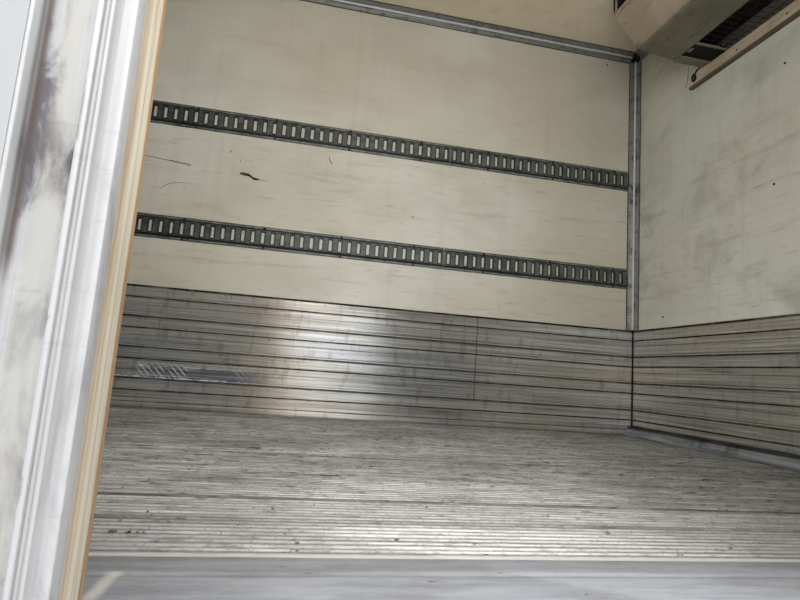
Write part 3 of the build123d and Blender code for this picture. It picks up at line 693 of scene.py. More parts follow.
@dataclass(frozen=True)
class FloorFinish:
    """Ribbed floor: bright rib tops, dirt between them and along the joints, and painted shade near the
    doorway.
    """

    shell: Shell
    joints: tuple[Pair, ...] = (
        (0.368, 0.012), (0.003, 0.013), (-0.279, 0.012), (-0.537, 0.015), (-0.695, 0.018),
    )
    light: Color = tone(212, 212, 210)
    shade: Color = tone(160, 159, 156)
    dirt: Color = tone(84, 80, 73)
    rust: Color = tone(116, 94, 72)
    crumb: Color = tone(34, 29, 24)

    def seams(self, graph: Graph) -> Level:
        """Give the dirty joints between the floor's planks, unevenly filled.

        Args:
            graph: The floor's nodes.

        Returns:
            1 in a joint and 0 away from it.
        """
        wave = (graph.noise((6.0, 0.5, 0.5), 4.0) - 0.5) * 0.012
        place = graph.y + wave
        marks = place.near(*self.joints[0])
        for joint, reach in self.joints[1:]:
            marks = marks | place.near(joint, reach)
        return marks * graph.noise((7.0, 9.0, 1.0), 5.0, 0.6).span(0.34, 0.54, 0.5, 0.9)

    def build(self, name: str) -> bpy.types.Material:
        """Make the floor's material under a name.

        Args:
            name: The material's name.

        Returns:
            The material.
        """
        graph = Graph(name, metallic=0.35, specular=0.4)
        shell = self.shell
        grain = graph.noise((5.0, 200.0, 30.0), 4.0, 0.6)
        bands = graph.noise((1.1, 34.0, 1.0), 4.0, 0.6)
        patches = graph.noise((2.2, 4.5, 1.0), 9.0, 0.7)
        dashes = graph.noise((20.0, 120.0, 60.0), 4.0, 0.66).span(0.52, 0.60)
        grains = graph.noise((120.0, 260.0, 120.0), 3.0, 0.6).span(0.53, 0.64)
        crumbs = graph.noise((26.0, 52.0, 40.0), 4.0, 0.65).span(0.665, 0.70)
        bits = graph.noise((11.0, 24.0, 20.0), 3.0, 0.6).span(0.72, 0.735)
        tints = graph.noise((1.0, 1.4, 1.0), 5.0, 0.6, scale=1.3).span(0.50, 0.68)
        streaks = graph.noise((3.2, 52.0, 1.0), 5.0, 0.62).span(0.50, 0.60)
        fills = graph.noise((1.5, 60.0, 1.0), 3.0, 0.6).span(0.38, 0.62, 0.35, 1.0)
        scraps = graph.noise((18.0, 120.0, 60.0), 3.0, 0.6).span(0.635, 0.665)
        top = graph.z.span(shell.floor - 0.0050, shell.floor - 0.0006)
        # Painted shade: the floor darker near the doorway, where the light falls strongest.
        shade_near_door = graph.y.span(-0.40, -0.80, 0.30, 0.75) * graph.x.span(-0.3, 0.6, 0.3, 1.0)
        far = graph.x.span(0.9, shell.bulkhead, 0.0, 0.22)
        grimy = 1.0 - graph.y.span(-0.10, -0.80, 0.0, 0.6)
        color = graph.layers(
            self.shade,
            (grain.span(0.32, 0.66), self.light),
            (bands.span(0.40, 0.60, 0.0, 0.55), self.shade),
            (shade_near_door, self.shade),
            (patches.span(0.40, 0.66) * (grimy * 0.45), self.dirt),
            (tints * (far + 0.04), self.rust),
            (streaks * (grimy * 0.45), self.dirt),
            (dashes * (grimy * 0.55), self.dirt),
            (grains * 0.30, self.dirt),
            ((1.0 - top) * fills, self.dirt),
            (scraps * (grimy * 0.85), self.crumb),
            (self.seams(graph) * 0.75, self.crumb),
            (crumbs * 0.75, self.crumb),
            (bits * 0.9, self.crumb),
        )
        relief = dashes + (crumbs + grains * 0.5)
        return graph.dress(color, patches.span(0.3, 0.7, 0.46, 0.66), relief, 0.0009, 0.6)


@dataclass(frozen=True)
class PlateFinish:
    """Smooth threshold plate: dull bright metal with drag marks, a crease, a pale scrape and a painted
    highlight along its inner edge.
    """

    inner: float
    crease: float = -0.949
    scrape_from: Pair = (-0.004, -0.933)
    scrape_to: Pair = (-0.008, -1.016)
    light: Color = tone(159, 162, 169)
    shade: Color = tone(136, 139, 146)
    dirt: Color = tone(104, 101, 96)
    crumb: Color = tone(50, 43, 37)
    pale: Color = tone(206, 204, 196)
    # Colour of the painted highlight along the inner edge.
    edge: Color = tone(214, 213, 209)

    def scrape(self, graph: Graph) -> Level:
        """Give the pale scrape, a band between two points with ragged sides.

        Args:
            graph: The plate's nodes.

        Returns:
            1 in the scrape and 0 away from it.
        """
        (x0, y0), (x1, y1) = self.scrape_from, self.scrape_to
        length = math.hypot(x1 - x0, y1 - y0)
        along_x, along_y = (x1 - x0) / length, (y1 - y0) / length
        east, north = graph.x - x0, graph.y - y0
        along = east * along_x + north * along_y
        across = (east * along_y - north * along_x).plain()
        ragged = across + graph.noise(38.0, 5.0, 0.65) * 0.016
        ends = along.span(-0.004, 0.010) * along.span(length + 0.01, length - 0.01)
        return ragged.span(0.021, 0.009) * ends

    def build(self, name: str) -> bpy.types.Material:
        """Make the plate's material under a name.

        Args:
            name: The material's name.

        Returns:
            The material.
        """
        graph = Graph(name, metallic=0.35)
        drags = graph.noise((4.0, 34.0, 10.0), 6.0, 0.66)
        clouds = graph.noise((5.0, 11.0, 3.0), 8.0, 0.68)
        flecks = graph.noise((50.0, 110.0, 60.0), 4.0, 0.66).span(0.57, 0.68)
        crumbs = graph.noise((30.0, 70.0, 40.0), 4.0, 0.65).span(0.68, 0.71)
        fold = (graph.y + drags * 0.006).near(self.crease + 0.003, 0.007)
        color = graph.layers(
            self.shade,
            (drags.span(0.36, 0.64), self.light),
            (graph.y.span(self.crease + 0.010, self.crease + 0.020) * 0.35, self.dirt),
            (clouds.span(0.46, 0.68, 0.0, 0.38), self.dirt),
            (flecks * 0.25, self.light),
            (fold * 0.45, self.dirt),
            # Painted highlight along the plate's inner edge.
            (graph.y.span(self.inner - 0.019, self.inner - 0.015) * 0.85, self.edge),
            (crumbs * 0.8, self.crumb),
            (self.scrape(graph) * 0.8, self.pale),
        )
        return graph.dress(color, clouds.span(0.3, 0.7, 0.34, 0.52), drags + clouds * 2.0, 0.0008, 0.4)


@dataclass(frozen=True)
class FrameFinish:
    """Pale doorway frame: bands of grey dirt beside its lips and cream wear between them."""

    edge_rear: float
    edge_front: float
    edge_top: float
    crest: float
    dirt_foot: float = 0.64
    face: Color = tone(214, 214, 214)
    cream: Color = tone(217, 215, 209)
    bright: Color = tone(228, 228, 230)
    dirt: Color = tone(104, 99, 104)
    brown: Color = tone(104, 92, 86)

    def build(self, name: str) -> bpy.types.Material:
        """Make the frame's material under a name.

        Args:
            name: The material's name.

        Returns:
            The material.
        """
        graph = Graph(name, metallic=0.15, specular=0.45)
        away = (self.edge_rear - graph.x) | (graph.x - self.edge_front) | (graph.z - self.edge_top)
        smear = graph.noise((30.0, 30.0, 3.2), 6.0, 0.66)
        blots = graph.noise((24.0, 24.0, 8.0), 6.0, 0.66, 0.6)
        cross = graph.noise((12.0, 12.0, 130.0), 4.0, 0.6)
        streaks = graph.noise((260.0, 60.0, 2.5), 4.0, 0.6)
        patches = graph.noise((34.0, 34.0, 15.0), 6.0, 0.64, 0.5)
        upper = (graph.z + smear * 0.06).span(self.dirt_foot, self.dirt_foot + 0.03, 0.12, 1.0)
        deep = graph.y.span(0.007 - self.crest, 0.012 - self.crest)
        outer = away.span(0.034, 0.048) * away.span(0.0548, 0.0530) * upper
        inner = away.span(0.030, 0.022) * away.span(0.017, 0.020)
        channel = away.span(0.022, 0.028) * away.span(0.048, 0.042)
        root = away.near(0.0535, 0.0060) * deep * upper
        fringe = away.near(0.0250, 0.0070) * deep * upper
        shelf = graph.z.near(self.dirt_foot + 0.05, 0.035) * (away.span(0.020, 0.026) * deep)
        color = graph.layers(
            self.face,
            (streaks.span(0.35, 0.65), self.bright),
            (channel * smear.span(0.35, 0.60), self.cream),
            (outer * patches.span(0.42, 0.60, 0.18, 0.95), self.dirt),
            (inner * patches.span(0.54, 0.64, 0.0, 0.60), self.dirt),
            (away.near(0.0125, 0.0022) * smear.span(0.35, 0.6, 0.3, 0.7), self.dirt),
            (root * 0.9, self.brown),
            (shelf * patches.span(0.40, 0.60, 0.25, 0.75), self.dirt),
            (fringe * patches.span(0.48, 0.60, 0.05, 0.70), self.dirt),
            (channel * patches.span(0.46, 0.66, 0.0, 0.28), self.dirt),
            (blots.span(0.52, 0.72, 0.0, 0.30), self.dirt),
            (cross.span(0.60, 0.72, 0.0, 0.10), self.dirt),
        )
        return graph.dress(color, smear.span(0.3, 0.7, 0.38, 0.56), streaks + blots * 1.5, 0.0004, 0.35)


@dataclass(frozen=True)
class JambFinish:
    """Bare edge of the doorway's wood liner: layers from pale orange through cream to brown."""

    inner: float
    outer_ply: Color = tone(233, 214, 184)
    core: Color = tone(250, 240, 218)
    inner_ply: Color = tone(206, 166, 120)
    shade: Color = tone(206, 190, 168)
    knot: Color = tone(150, 108, 66)

    def build(self, name: str) -> bpy.types.Material:
        """Make the liner's material under a name.

        Args:
            name: The material's name.

        Returns:
            The material.
        """
        graph = Graph(name, specular=0.3)
        wander = (graph.noise((3.0, 3.0, 2.6), 4.0) - 0.5) * 0.010
        depth = graph.y + self.inner + wander
        grain = graph.noise((190.0, 190.0, 5.0), 4.0, 0.62, 0.4)
        fibre = graph.noise((420.0, 420.0, 16.0), 3.0, 0.6)
        stains = graph.noise((20.0, 20.0, 5.0), 6.0, 0.66).span(0.50, 0.70)
        color = graph.layers(
            self.shade,
            (depth.span(-0.041, -0.037), self.outer_ply),
            (depth.span(-0.034, -0.029), self.core),
            (depth.span(-0.0110, -0.0080), self.inner_ply),
            (depth.near(-0.0225, 0.0022) * 0.30, self.knot),
            (grain.span(0.50, 0.66, 0.0, 0.30), self.knot),
            (fibre.span(0.55, 0.72, 0.0, 0.30), self.core),
            (stains * 0.30, self.knot),
        )
        return graph.dress(color, grain.span(0.3, 0.7, 0.6, 0.8), grain + fibre, 0.0007, 0.6)


@dataclass(frozen=True)
class TrackFinish:
    """Slotted track: slate paint, rubbed bright along its flanges, with painted shadow in its folds, along
    its outer edges and round its slots, and painted shade towards its rear end.
    """

    middle: float
    first_slot: float
    spacing: float = 0.6096
    slot_pitch: float = 0.0508
    fold: float = 0.0395
    paint: Color = tone(94, 101, 99)
    shade: Color = tone(66, 72, 70)
    # Colour of the painted shadow and shade.
    gap: Color = tone(14, 15, 15)
    bare: Color = tone(176, 174, 164)

    def build(self, name: str) -> bpy.types.Material:
        """Make the track's material under a name.

        Args:
            name: The material's name.

        Returns:
            The material.
        """
        graph = Graph(name, metallic=0.2)
        away = graph.z.away(self.middle, self.spacing)
        beside = graph.x.away(self.first_slot, self.slot_pitch)
        broad = graph.noise((1.0, 1.0, 3.0), 5.0, 0.62, scale=5.0)
        chips = graph.noise((60.0, 60.0, 150.0), 5.0, 0.7).span(0.56, 0.64)
        rubbed = graph.noise((26.0, 26.0, 90.0), 5.0, 0.68).span(0.46, 0.58)
        dust = graph.noise((16.0, 16.0, 30.0), 6.0, 0.66).span(0.50, 0.72)
        # Painted shadow in the folds.
        fold_shadow = away.near(self.fold + 0.0050, 0.0062).span(0.1, 0.6)
        line = away.near(self.fold + 0.0130, 0.0040)
        # Painted shadow along the flanges' outer edges, broken by rubbed wear.
        rim = away.span(self.fold + 0.0195, self.fold + 0.0215)
        # Painted shadow round each slot.
        slot = beside.span(0.0148, 0.0122) * away.span(0.0372, 0.0344)
        color = graph.layers(
            self.shade,
            (broad.span(0.35, 0.65), self.paint),
            # Painted shade: darker towards the rear end.
            (graph.x.span(0.5, -0.7, 0.0, 0.45), self.gap),
            (dust * 0.18, self.bare),
            (line * (rubbed * 0.60 + 0.10), self.bare),
            (chips * 0.18, self.bare),
            (fold_shadow * 0.92, self.gap),
            (rim * 0.92, self.gap),
            (rim * (rubbed * 0.45), self.bare),
            (slot * 0.88, self.gap),
        )
        return graph.dress(color, broad.span(0.3, 0.7, 0.38, 0.54), graph.noise(160.0, 3.0), 0.0002, 0.35)


@dataclass(frozen=True)
class PaintFinish:
    """Paint or moulded shell with stains, chips and dirt."""

    paint: Color
    shade: Color
    chip: Color = tone(150, 150, 146)
    stain: Color = tone(60, 54, 46)
    roughness: float = 0.45
    chip_share: float = 0.3
    stain_share: float = 0.3

    def build(self, name: str) -> bpy.types.Material:
        """Make the paint's material under a name.

        Args:
            name: The material's name.

        Returns:
            The material.
        """
        graph = Graph(name)
        broad = graph.noise(2.0)
        chips = graph.noise(55.0, 5.0, 0.7).span(0.64, 0.68)
        stains = graph.noise((1.0, 1.0, 0.6), 8.0, 0.66, scale=4.0).span(0.48, 0.72)
        color = graph.layers(
            self.shade,
            (broad.span(0.35, 0.65), self.paint),
            (stains * self.stain_share, self.stain),
            (chips * self.chip_share, self.chip),
        )
        rough = broad.span(0.3, 0.7, -0.06, 0.1) + self.roughness
        return graph.dress(color, rough, graph.noise(120.0, 3.0), 0.0003, 0.35)


@dataclass(frozen=True)
class BattenFinish:
    """Painted softwood batten with its grain, worn and stained, with a painted shadow along its foot."""

    foot: float
    light: Color = tone(206, 190, 168)
    shade: Color = tone(184, 166, 143)
    stain: Color = tone(116, 96, 76)

    def build(self, name: str) -> bpy.types.Material:
        """Make the batten's material under a name.

        Args:
            name: The material's name.

        Returns:
            The material.
        """
        graph = Graph(name, specular=0.3)
        grain = graph.noise(Axis.Y.stretch(3.0, 130.0), 4.0, 0.6, 0.4)
        fibre = graph.noise(Axis.Y.stretch(9.0, 320.0), 3.0, 0.6)
        stains = graph.noise((1.0, 1.0, 0.7), 6.0, 0.65, scale=6.0).span(0.45, 0.68)
        color = graph.layers(
            self.shade,
            (grain.span(0.35, 0.65), self.light),
            (fibre.span(0.5, 0.72, 0.0, 0.4), self.shade),
            (stains * 0.3, self.stain),
            # Painted shadow along the batten's foot.
            (graph.z.span(self.foot + 0.015, self.foot + 0.010, 0.0, 0.85), tone(66, 50, 36)),
        )
        return graph.dress(color, grain.span(0.3, 0.7, 0.6, 0.8), grain + fibre, 0.0006, 0.6)


@dataclass(frozen=True)
class UnitFinish:
    """Unit's moulded shell: beige and scratched on its slope, grey green beneath and darkened there as
    painted shade, with a painted shadow in the outlet's mouth.
    """

    toe: float
    nose: float
    outlet: float
    paint: Color = tone(174, 161, 143)
    shade: Color = tone(156, 142, 122)
    # Underside colours, darker than the slope as painted shade.
    under: Color = tone(134, 128, 110)
    under_shade: Color = tone(112, 108, 92)
    stain: Color = tone(56, 49, 39)

    def build(self, name: str) -> bpy.types.Material:
        """Make the shell's material under a name.

        Args:
            name: The material's name.

        Returns:
            The material.
        """
        graph = Graph(name, specular=0.35)
        broad = graph.noise(2.6)
        clouds = graph.noise((1.0, 0.8, 1.0), 8.0, 0.68, scale=4.6).span(0.50, 0.70)
        scratches = graph.noise((30.0, 5.0, 22.0), 4.0, 0.62, 0.6).span(0.57, 0.64)
        specks = graph.noise(48.0, 4.0, 0.7).span(0.66, 0.70)
        edge = graph.z.span(self.toe + 0.030, self.toe - 0.012)
        # The outlet's mouth, painted black as shadow.
        mouth = graph.x.span(self.outlet + 0.007, self.outlet + 0.004)
        mouth = mouth * graph.z.span(self.nose + 0.006, self.nose + 0.012)
        slope = graph.blend(broad.span(0.35, 0.65), self.shade, self.paint)
        under = graph.blend(broad.span(0.35, 0.65), self.under_shade, self.under)
        color = graph.layers(
            slope,
            # Painted shade: the darker underside below the toe.
            (graph.z.span(self.toe + 0.004, self.toe - 0.004), under),
            (edge * 0.15, self.stain),
            (clouds * 0.42, self.stain),
            (scratches * 0.50, self.stain),
            (specks * 0.45, self.stain),
            # Painted shadow in the outlet's mouth.
            (mouth, tone(14, 13, 12)),
        )
        return graph.dress(color, broad.span(0.3, 0.7, 0.48, 0.62), graph.noise(90.0, 3.0), 0.0004, 0.35)


@dataclass(frozen=True)
class RubberFinish:
    """Dull black rubber with a bloom of dust."""

    rubber: Color = tone(26, 26, 26)
    dust: Color = tone(74, 72, 68)

    def build(self, name: str) -> bpy.types.Material:
        """Make the rubber's material under a name.

        Args:
            name: The material's name.

        Returns:
            The material.
        """
        graph = Graph(name, specular=0.3)
        bloom = graph.noise(9.0, 7.0, 0.65).span(0.45, 0.72, 0.0, 0.6)
        color = graph.blend(bloom, self.rubber, self.dust)
        return graph.dress(color, 0.68, graph.noise(160.0, 2.0), 0.0002, 0.5)


@dataclass(frozen=True)
class FinFinish:
    """Dark coil with close upright fins, with painted shade between them."""

    metal: Color = tone(66, 66, 64)
    dust: Color = tone(104, 98, 86)
    gap: Color = tone(8, 8, 8)
    pitch: float = 0.004

    def build(self, name: str) -> bpy.types.Material:
        """Make the coil's material under a name.

        Args:
            name: The material's name.

        Returns:
            The material.
        """
        graph = Graph(name, metallic=0.6)
        fins = graph.y.repeat(0.0, self.pitch, self.pitch * 0.42)
        bloom = graph.noise(7.0, 6.0).span(0.45, 0.7, 0.0, 0.5)
        # Painted shade in the gaps between the fins.
        color = graph.blend(fins.span(0.2, 0.8), self.gap, graph.blend(bloom, self.metal, self.dust))
        return graph.dress(color, 0.55, fins, 0.0012, 0.8)


@dataclass(frozen=True)
class LensFinish:
    """Lamp lenses: amber at the front, red at the rear, ribbed."""

    amber: Color = tone(214, 104, 18)
    red: Color = tone(168, 16, 14)
    dust: Color = tone(120, 108, 96)
    rib_pitch: float = 0.004

    def build(self, name: str) -> bpy.types.Material:
        """Make the lenses' material under a name.

        Args:
            name: The material's name.

        Returns:
            The material.
        """
        graph = Graph(name)
        graph.shader.inputs["Coat Weight"].default_value = 0.6
        ahead = graph.math("GREATER_THAN", graph.x, 0.0)
        bloom = graph.noise(30.0, 5.0).span(0.5, 0.72, 0.0, 0.25)
        color = graph.blend(bloom, graph.blend(ahead, self.red, self.amber), self.dust)
        return graph.dress(color, 0.22, graph.z.repeat(0.0, self.rib_pitch, self.rib_pitch / 2), 0.0006, 0.6)


@dataclass(frozen=True)
class StageFinish:
    """Pale studio floor with a faint grain."""

    shade: Color = tone(208, 208, 206)
    pale: Color = tone(214, 214, 212)

    def build(self, name: str) -> bpy.types.Material:
        """Make the floor's material under a name.

        Args:
            name: The material's name.

        Returns:
            The material.
        """
        graph = Graph(name, specular=0.2)
        return graph.dress(graph.blend(graph.noise(0.4).span(0.3, 0.7), self.shade, self.pale), 0.8)


class Form:
    """Gathers the solids of one piece."""

    def __init__(self) -> None:
        """Start with nothing."""
        self.mesh = bmesh.new()

    def sweep(
        self, section: Sequence[Pair], axis: Axis, start: float, end: float, steps: int = 1
    ) -> list[list[bmesh.types.BMVert]]:
        """Run a closed section along an axis, with closed ends.

        Args:
            section: The section's corners in order.
            axis: The direction it runs in.
            start: Where it starts along the axis.
            end: Where it ends along the axis.
            steps: Number of lengths it is divided into.

        Returns:
            The rings of points, from start to end.
        """
        rings = []
        for step in range(steps + 1):
            along = start + (end - start) * step / steps
            rings.append([self.mesh.verts.new(axis.point(u, v, along)) for u, v in section])
        self.skin(rings)
        return rings

    def skin(self, rings: Sequence[Sequence[bmesh.types.BMVert]]) -> None:
        """Join rings of points with faces and close both ends.

        Args:
            rings: The rings in order, each with the same number of points.
        """
        count = len(rings[0])
        for low, high in zip(rings, rings[1:]):
            for index in range(count):
                after = (index + 1) % count
                self.mesh.faces.new((low[index], low[after], high[after], high[index]))
        self.mesh.faces.new(list(reversed(rings[0])))
        self.mesh.faces.new(rings[-1])

    def round_off(self, edges: Iterable[bmesh.types.BMEdge], radius: float, segments: int) -> None:
        """Round edges by a radius, with a number of faces across each.

        Args:
            edges: The edges.
            radius: Radius of the rounding.
            segments: Number of faces across it.
        """
        bmesh.ops.bevel(
            self.mesh, geom=list(edges), offset=radius, segments=segments, profile=0.5, affect="EDGES",
            clamp_overlap=True,
        )

    def slab(self, first: Point, second: Point, edge: float = 0.0, segments: int = 2) -> None:
        """Add a block between two opposite corners, its edges rounded by a radius.

        Args:
            first: One corner.
            second: The opposite corner.
            edge: Radius of its edges.
            segments: Number of faces across each edge.
        """
        low, high = tuple(map(min, first, second)), tuple(map(max, first, second))
        before = set(self.mesh.faces)
        self.sweep(rectangle(low[1:], high[1:]), Axis.X, low[0], high[0])
        if edge > 0:
            faces = [face for face in self.mesh.faces if face not in before]
            self.round_off(dict.fromkeys(line for face in faces for line in face.edges), edge, segments)

    def ring(self, centre: Vector, spokes: tuple[Vector, Vector], radius: float, sides: int) -> list:
        """Add the points of a circle round a centre, between two crossing directions.

        Args:
            centre: The centre.
            spokes: The two directions.
            radius: Radius of the circle.
            sides: Number of points.

        Returns:
            The points in order.
        """
        points = []
        for side in range(sides):
            angle = math.tau * side / sides
            spoke = spokes[0] * math.cos(angle) + spokes[1] * math.sin(angle)
            points.append(self.mesh.verts.new(centre + spoke * radius))
        return points

    def lathe(self, profile: Sequence[Pair], centre: Point, away: Point, sides: int = 12) -> None:
        """Turn a profile round an axis.

        Args:
            profile: Radius and rise of each ring, from the base outwards.
            centre: Where the axis starts.
            away: Direction of the axis.
            sides: Number of sides.
        """
        axis = Vector(away).normalized()
        across = axis.orthogonal().normalized()
        spokes = (across, axis.cross(across))
        foot = Vector(centre)
        self.skin([self.ring(foot + axis * rise, spokes, radius, sides) for radius, rise in profile])

    def rivet(
        self, centre: Point, away: Point, radius: float = 0.0045, rise: float = 0.0022, sides: int = 8
    ) -> None:
        """Add a domed rivet head."""
        self.lathe(((radius, 0.0), (radius * 0.82, rise * 0.62), (radius * 0.3, rise)), centre, away, sides)

    def bolt(self, centre: Point, away: Point, radius: float, rise: float) -> None:
        """Add a six-sided bolt head on its washer.

        Args:
            centre: Middle of its foot.
            away: The direction it stands in.
            radius: Radius of the head.
            rise: Height of the head.
        """
        washer = radius * 1.45
        self.lathe(((washer, 0.0), (washer, rise * 0.22), (washer * 0.94, rise * 0.3)), centre, away, 14)
        self.lathe(((radius, rise * 0.3), (radius, rise * 0.88), (radius * 0.86, rise)), centre, away, 6)

    def tube(self, path: Sequence[Point], radius: float, sides: int = 8) -> None:
        """Run a round bar through points.

        Args:
            path: The points in order.
            radius: Radius of the bar.
            sides: Number of sides.
        """
        points = [Vector(point) for point in path]
        across = (points[1] - points[0]).orthogonal().normalized()
        rings = []
        for index, point in enumerate(points):
            axis = points[min(index + 1, len(points) - 1)] - points[max(index - 1, 0)]
            axis.normalize()
            across = (across - axis * across.dot(axis)).normalized()
            rings.append(self.ring(point, (across, axis.cross(across)), radius, sides))
        self.skin(rings)

    def ribbon(self, points: Sequence[Point], axis: Axis, start: float, end: float) -> None:
        """Add a flat ribbon of changing width that follows points.

        Args:
            points: Each point's two places across the axis, and half the ribbon's width there.
            axis: The ribbon's normal.
            start: One face's place along the axis.
            end: The other face's place.
        """
        left, right = [], []
        for index, (u, v, half) in enumerate(points):
            before = points[max(index - 1, 0)]
            after = points[min(index + 1, len(points) - 1)]
            du, dv = after[0] - before[0], after[1] - before[1]
            length = math.hypot(du, dv)
            left.append((u - dv / length * half, v + du / length * half))
            right.append((u + dv / length * half, v - du / length * half))
        self.sweep(left + right[::-1], axis, start, end)

    def plate(self, loops: Sequence[Sequence[Pair]], axis: Axis, start: float, end: float) -> None:
        """Add a flat plate with holes.

        Args:
            loops: The outline first, then each hole.
            axis: The plate's normal.
            start: One face's place along the axis.
            end: The other face's place.
        """
        curve = bpy.data.curves.new("outline", "CURVE")
        curve.dimensions = "2D"
        curve.fill_mode = "BOTH"
        curve.extrude = abs(end - start) / 2
        for loop in loops:
            spline = curve.splines.new("POLY")
            spline.points.add(len(loop) - 1)
            for point, (u, v) in zip(spline.points, loop):
                point.co = (u, v, 0.0, 1.0)
            spline.use_cyclic_u = True
        holder = bpy.data.objects.new("outline", curve)
        cut = bpy.data.meshes.new_from_object(holder)
        known = set(self.mesh.verts)
        self.mesh.from_mesh(cut)
        for vert in self.mesh.verts:
            if vert not in known:
                u, v, w = vert.co
                vert.co = axis.point(u, v, (start + end) / 2 + w)
        bpy.data.objects.remove(holder)
        bpy.data.curves.remove(curve)
        bpy.data.meshes.remove(cut)

    def solid(self, node: bpy.types.Object, edge: float, segments: int = 2) -> None:
        """Take a frame node's solid with its sharp edges rounded.

        Args:
            node: The node's object.
            edge: Radius of the rounding.
            segments: Number of faces across the rounding.
        """
        mesh = self.mesh
        mesh.from_mesh(node.data)
        bmesh.ops.remove_doubles(mesh, verts=mesh.verts, dist=WELD)
        bmesh.ops.dissolve_limit(mesh, angle_limit=math.radians(1.0), verts=mesh.verts, edges=mesh.edges)
        sharp = math.radians(25.0)
        lines = [line for line in mesh.edges if line.is_manifold and line.calc_face_angle(0.0) > sharp]
        self.round_off(lines, edge, segments)

    def divide(self, axis: Axis, places: Iterable[float]) -> None:
        """Cut the faces gathered so far at places along an axis, so that wear can bend them.

        Args:
            axis: The axis.
            places: The places of the cuts.
        """
        normal = axis.point(0.0, 0.0, 1.0)
        for place in places:
            parts = [*self.mesh.verts, *self.mesh.edges, *self.mesh.faces]
            bmesh.ops.bisect_plane(
                self.mesh, geom=parts, plane_co=axis.point(0.0, 0.0, place), plane_no=normal
            )

    def move(self, matrix: Matrix) -> None:
        """Move everything gathered so far."""
        bmesh.ops.transform(self.mesh, matrix=matrix, verts=self.mesh.verts)

    def wear(self, amount: float, scale: float) -> None:
        """Shift the points by smooth noise, by an amount at most and with a number of waves each metre."""
        for vert in self.mesh.verts:
            vert.co += waves.noise_vector(vert.co * scale) * amount

    def keep_within(self, low: Vector, high: Vector) -> None:
        """Pull the points that lie outside a box back onto its faces."""
        for vert in self.mesh.verts:
            vert.co = [min(max(value, start), end) for value, start, end in zip(vert.co, low, high)]

    def finished(self, name: str, smooth: float) -> bpy.types.Mesh:
        """Turn the solids into one mesh, smooth up to an angle in degrees.

        Args:
            name: The mesh's name.
            smooth: The angle.

        Returns:
            The mesh.
        """
        bmesh.ops.recalc_face_normals(self.mesh, faces=self.mesh.faces)
        mesh = bpy.data.meshes.new(name)
        self.mesh.to_mesh(mesh)
        self.mesh.free()
        mesh.shade_smooth()
        mesh.set_sharp_from_angle(angle=math.radians(smooth))
        return mesh


def rounded(width: float, height: float, radius: float, steps: int = 4) -> list[Pair]:
    """Give the outline of a rectangle with round corners, centred on the origin.

    Args:
        width: Its width.
        height: Its height.
        radius: Radius of its corners.
        steps: Number of lines in each corner.

    Returns:
        The outline's corners in order.
    """
    outline = []
    corners = ((1, 1, 0.0), (-1, 1, 90.0), (-1, -1, 180.0), (1, -1, 270.0))
    for side, rise, turn in corners:
        for step in range(steps + 1):
            angle = math.radians(turn + 90.0 * step / steps)
            u = side * (width / 2 - radius) + radius * math.cos(angle)
            v = rise * (height / 2 - radius) + radius * math.sin(angle)
            outline.append((u, v))
    return outline


def spread(start: float, end: float, pitch: float) -> list[float]:
    """Space places evenly between two ends, about a pitch apart, both ends included."""
    count = max(1, round((end - start) / pitch))
    return [start + (end - start) * number / count for number in range(count + 1)]


def rectangle(low: Pair, high: Pair) -> list[Pair]:
    """Give the corners of a rectangle in order, from its lowest and highest corners."""
    return [(low[0], low[1]), (high[0], low[1]), (high[0], high[1]), (low[0], high[1])]


def beside_doorway(start: float, end: float) -> tuple[Pair, Pair]:
    """Give the lengths of right wall that are left behind and ahead of the side doorway."""
    low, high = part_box("side_door_frame")
    return (start, low.x + DOORWAY_MARGIN), (high.x - DOORWAY_MARGIN, end)


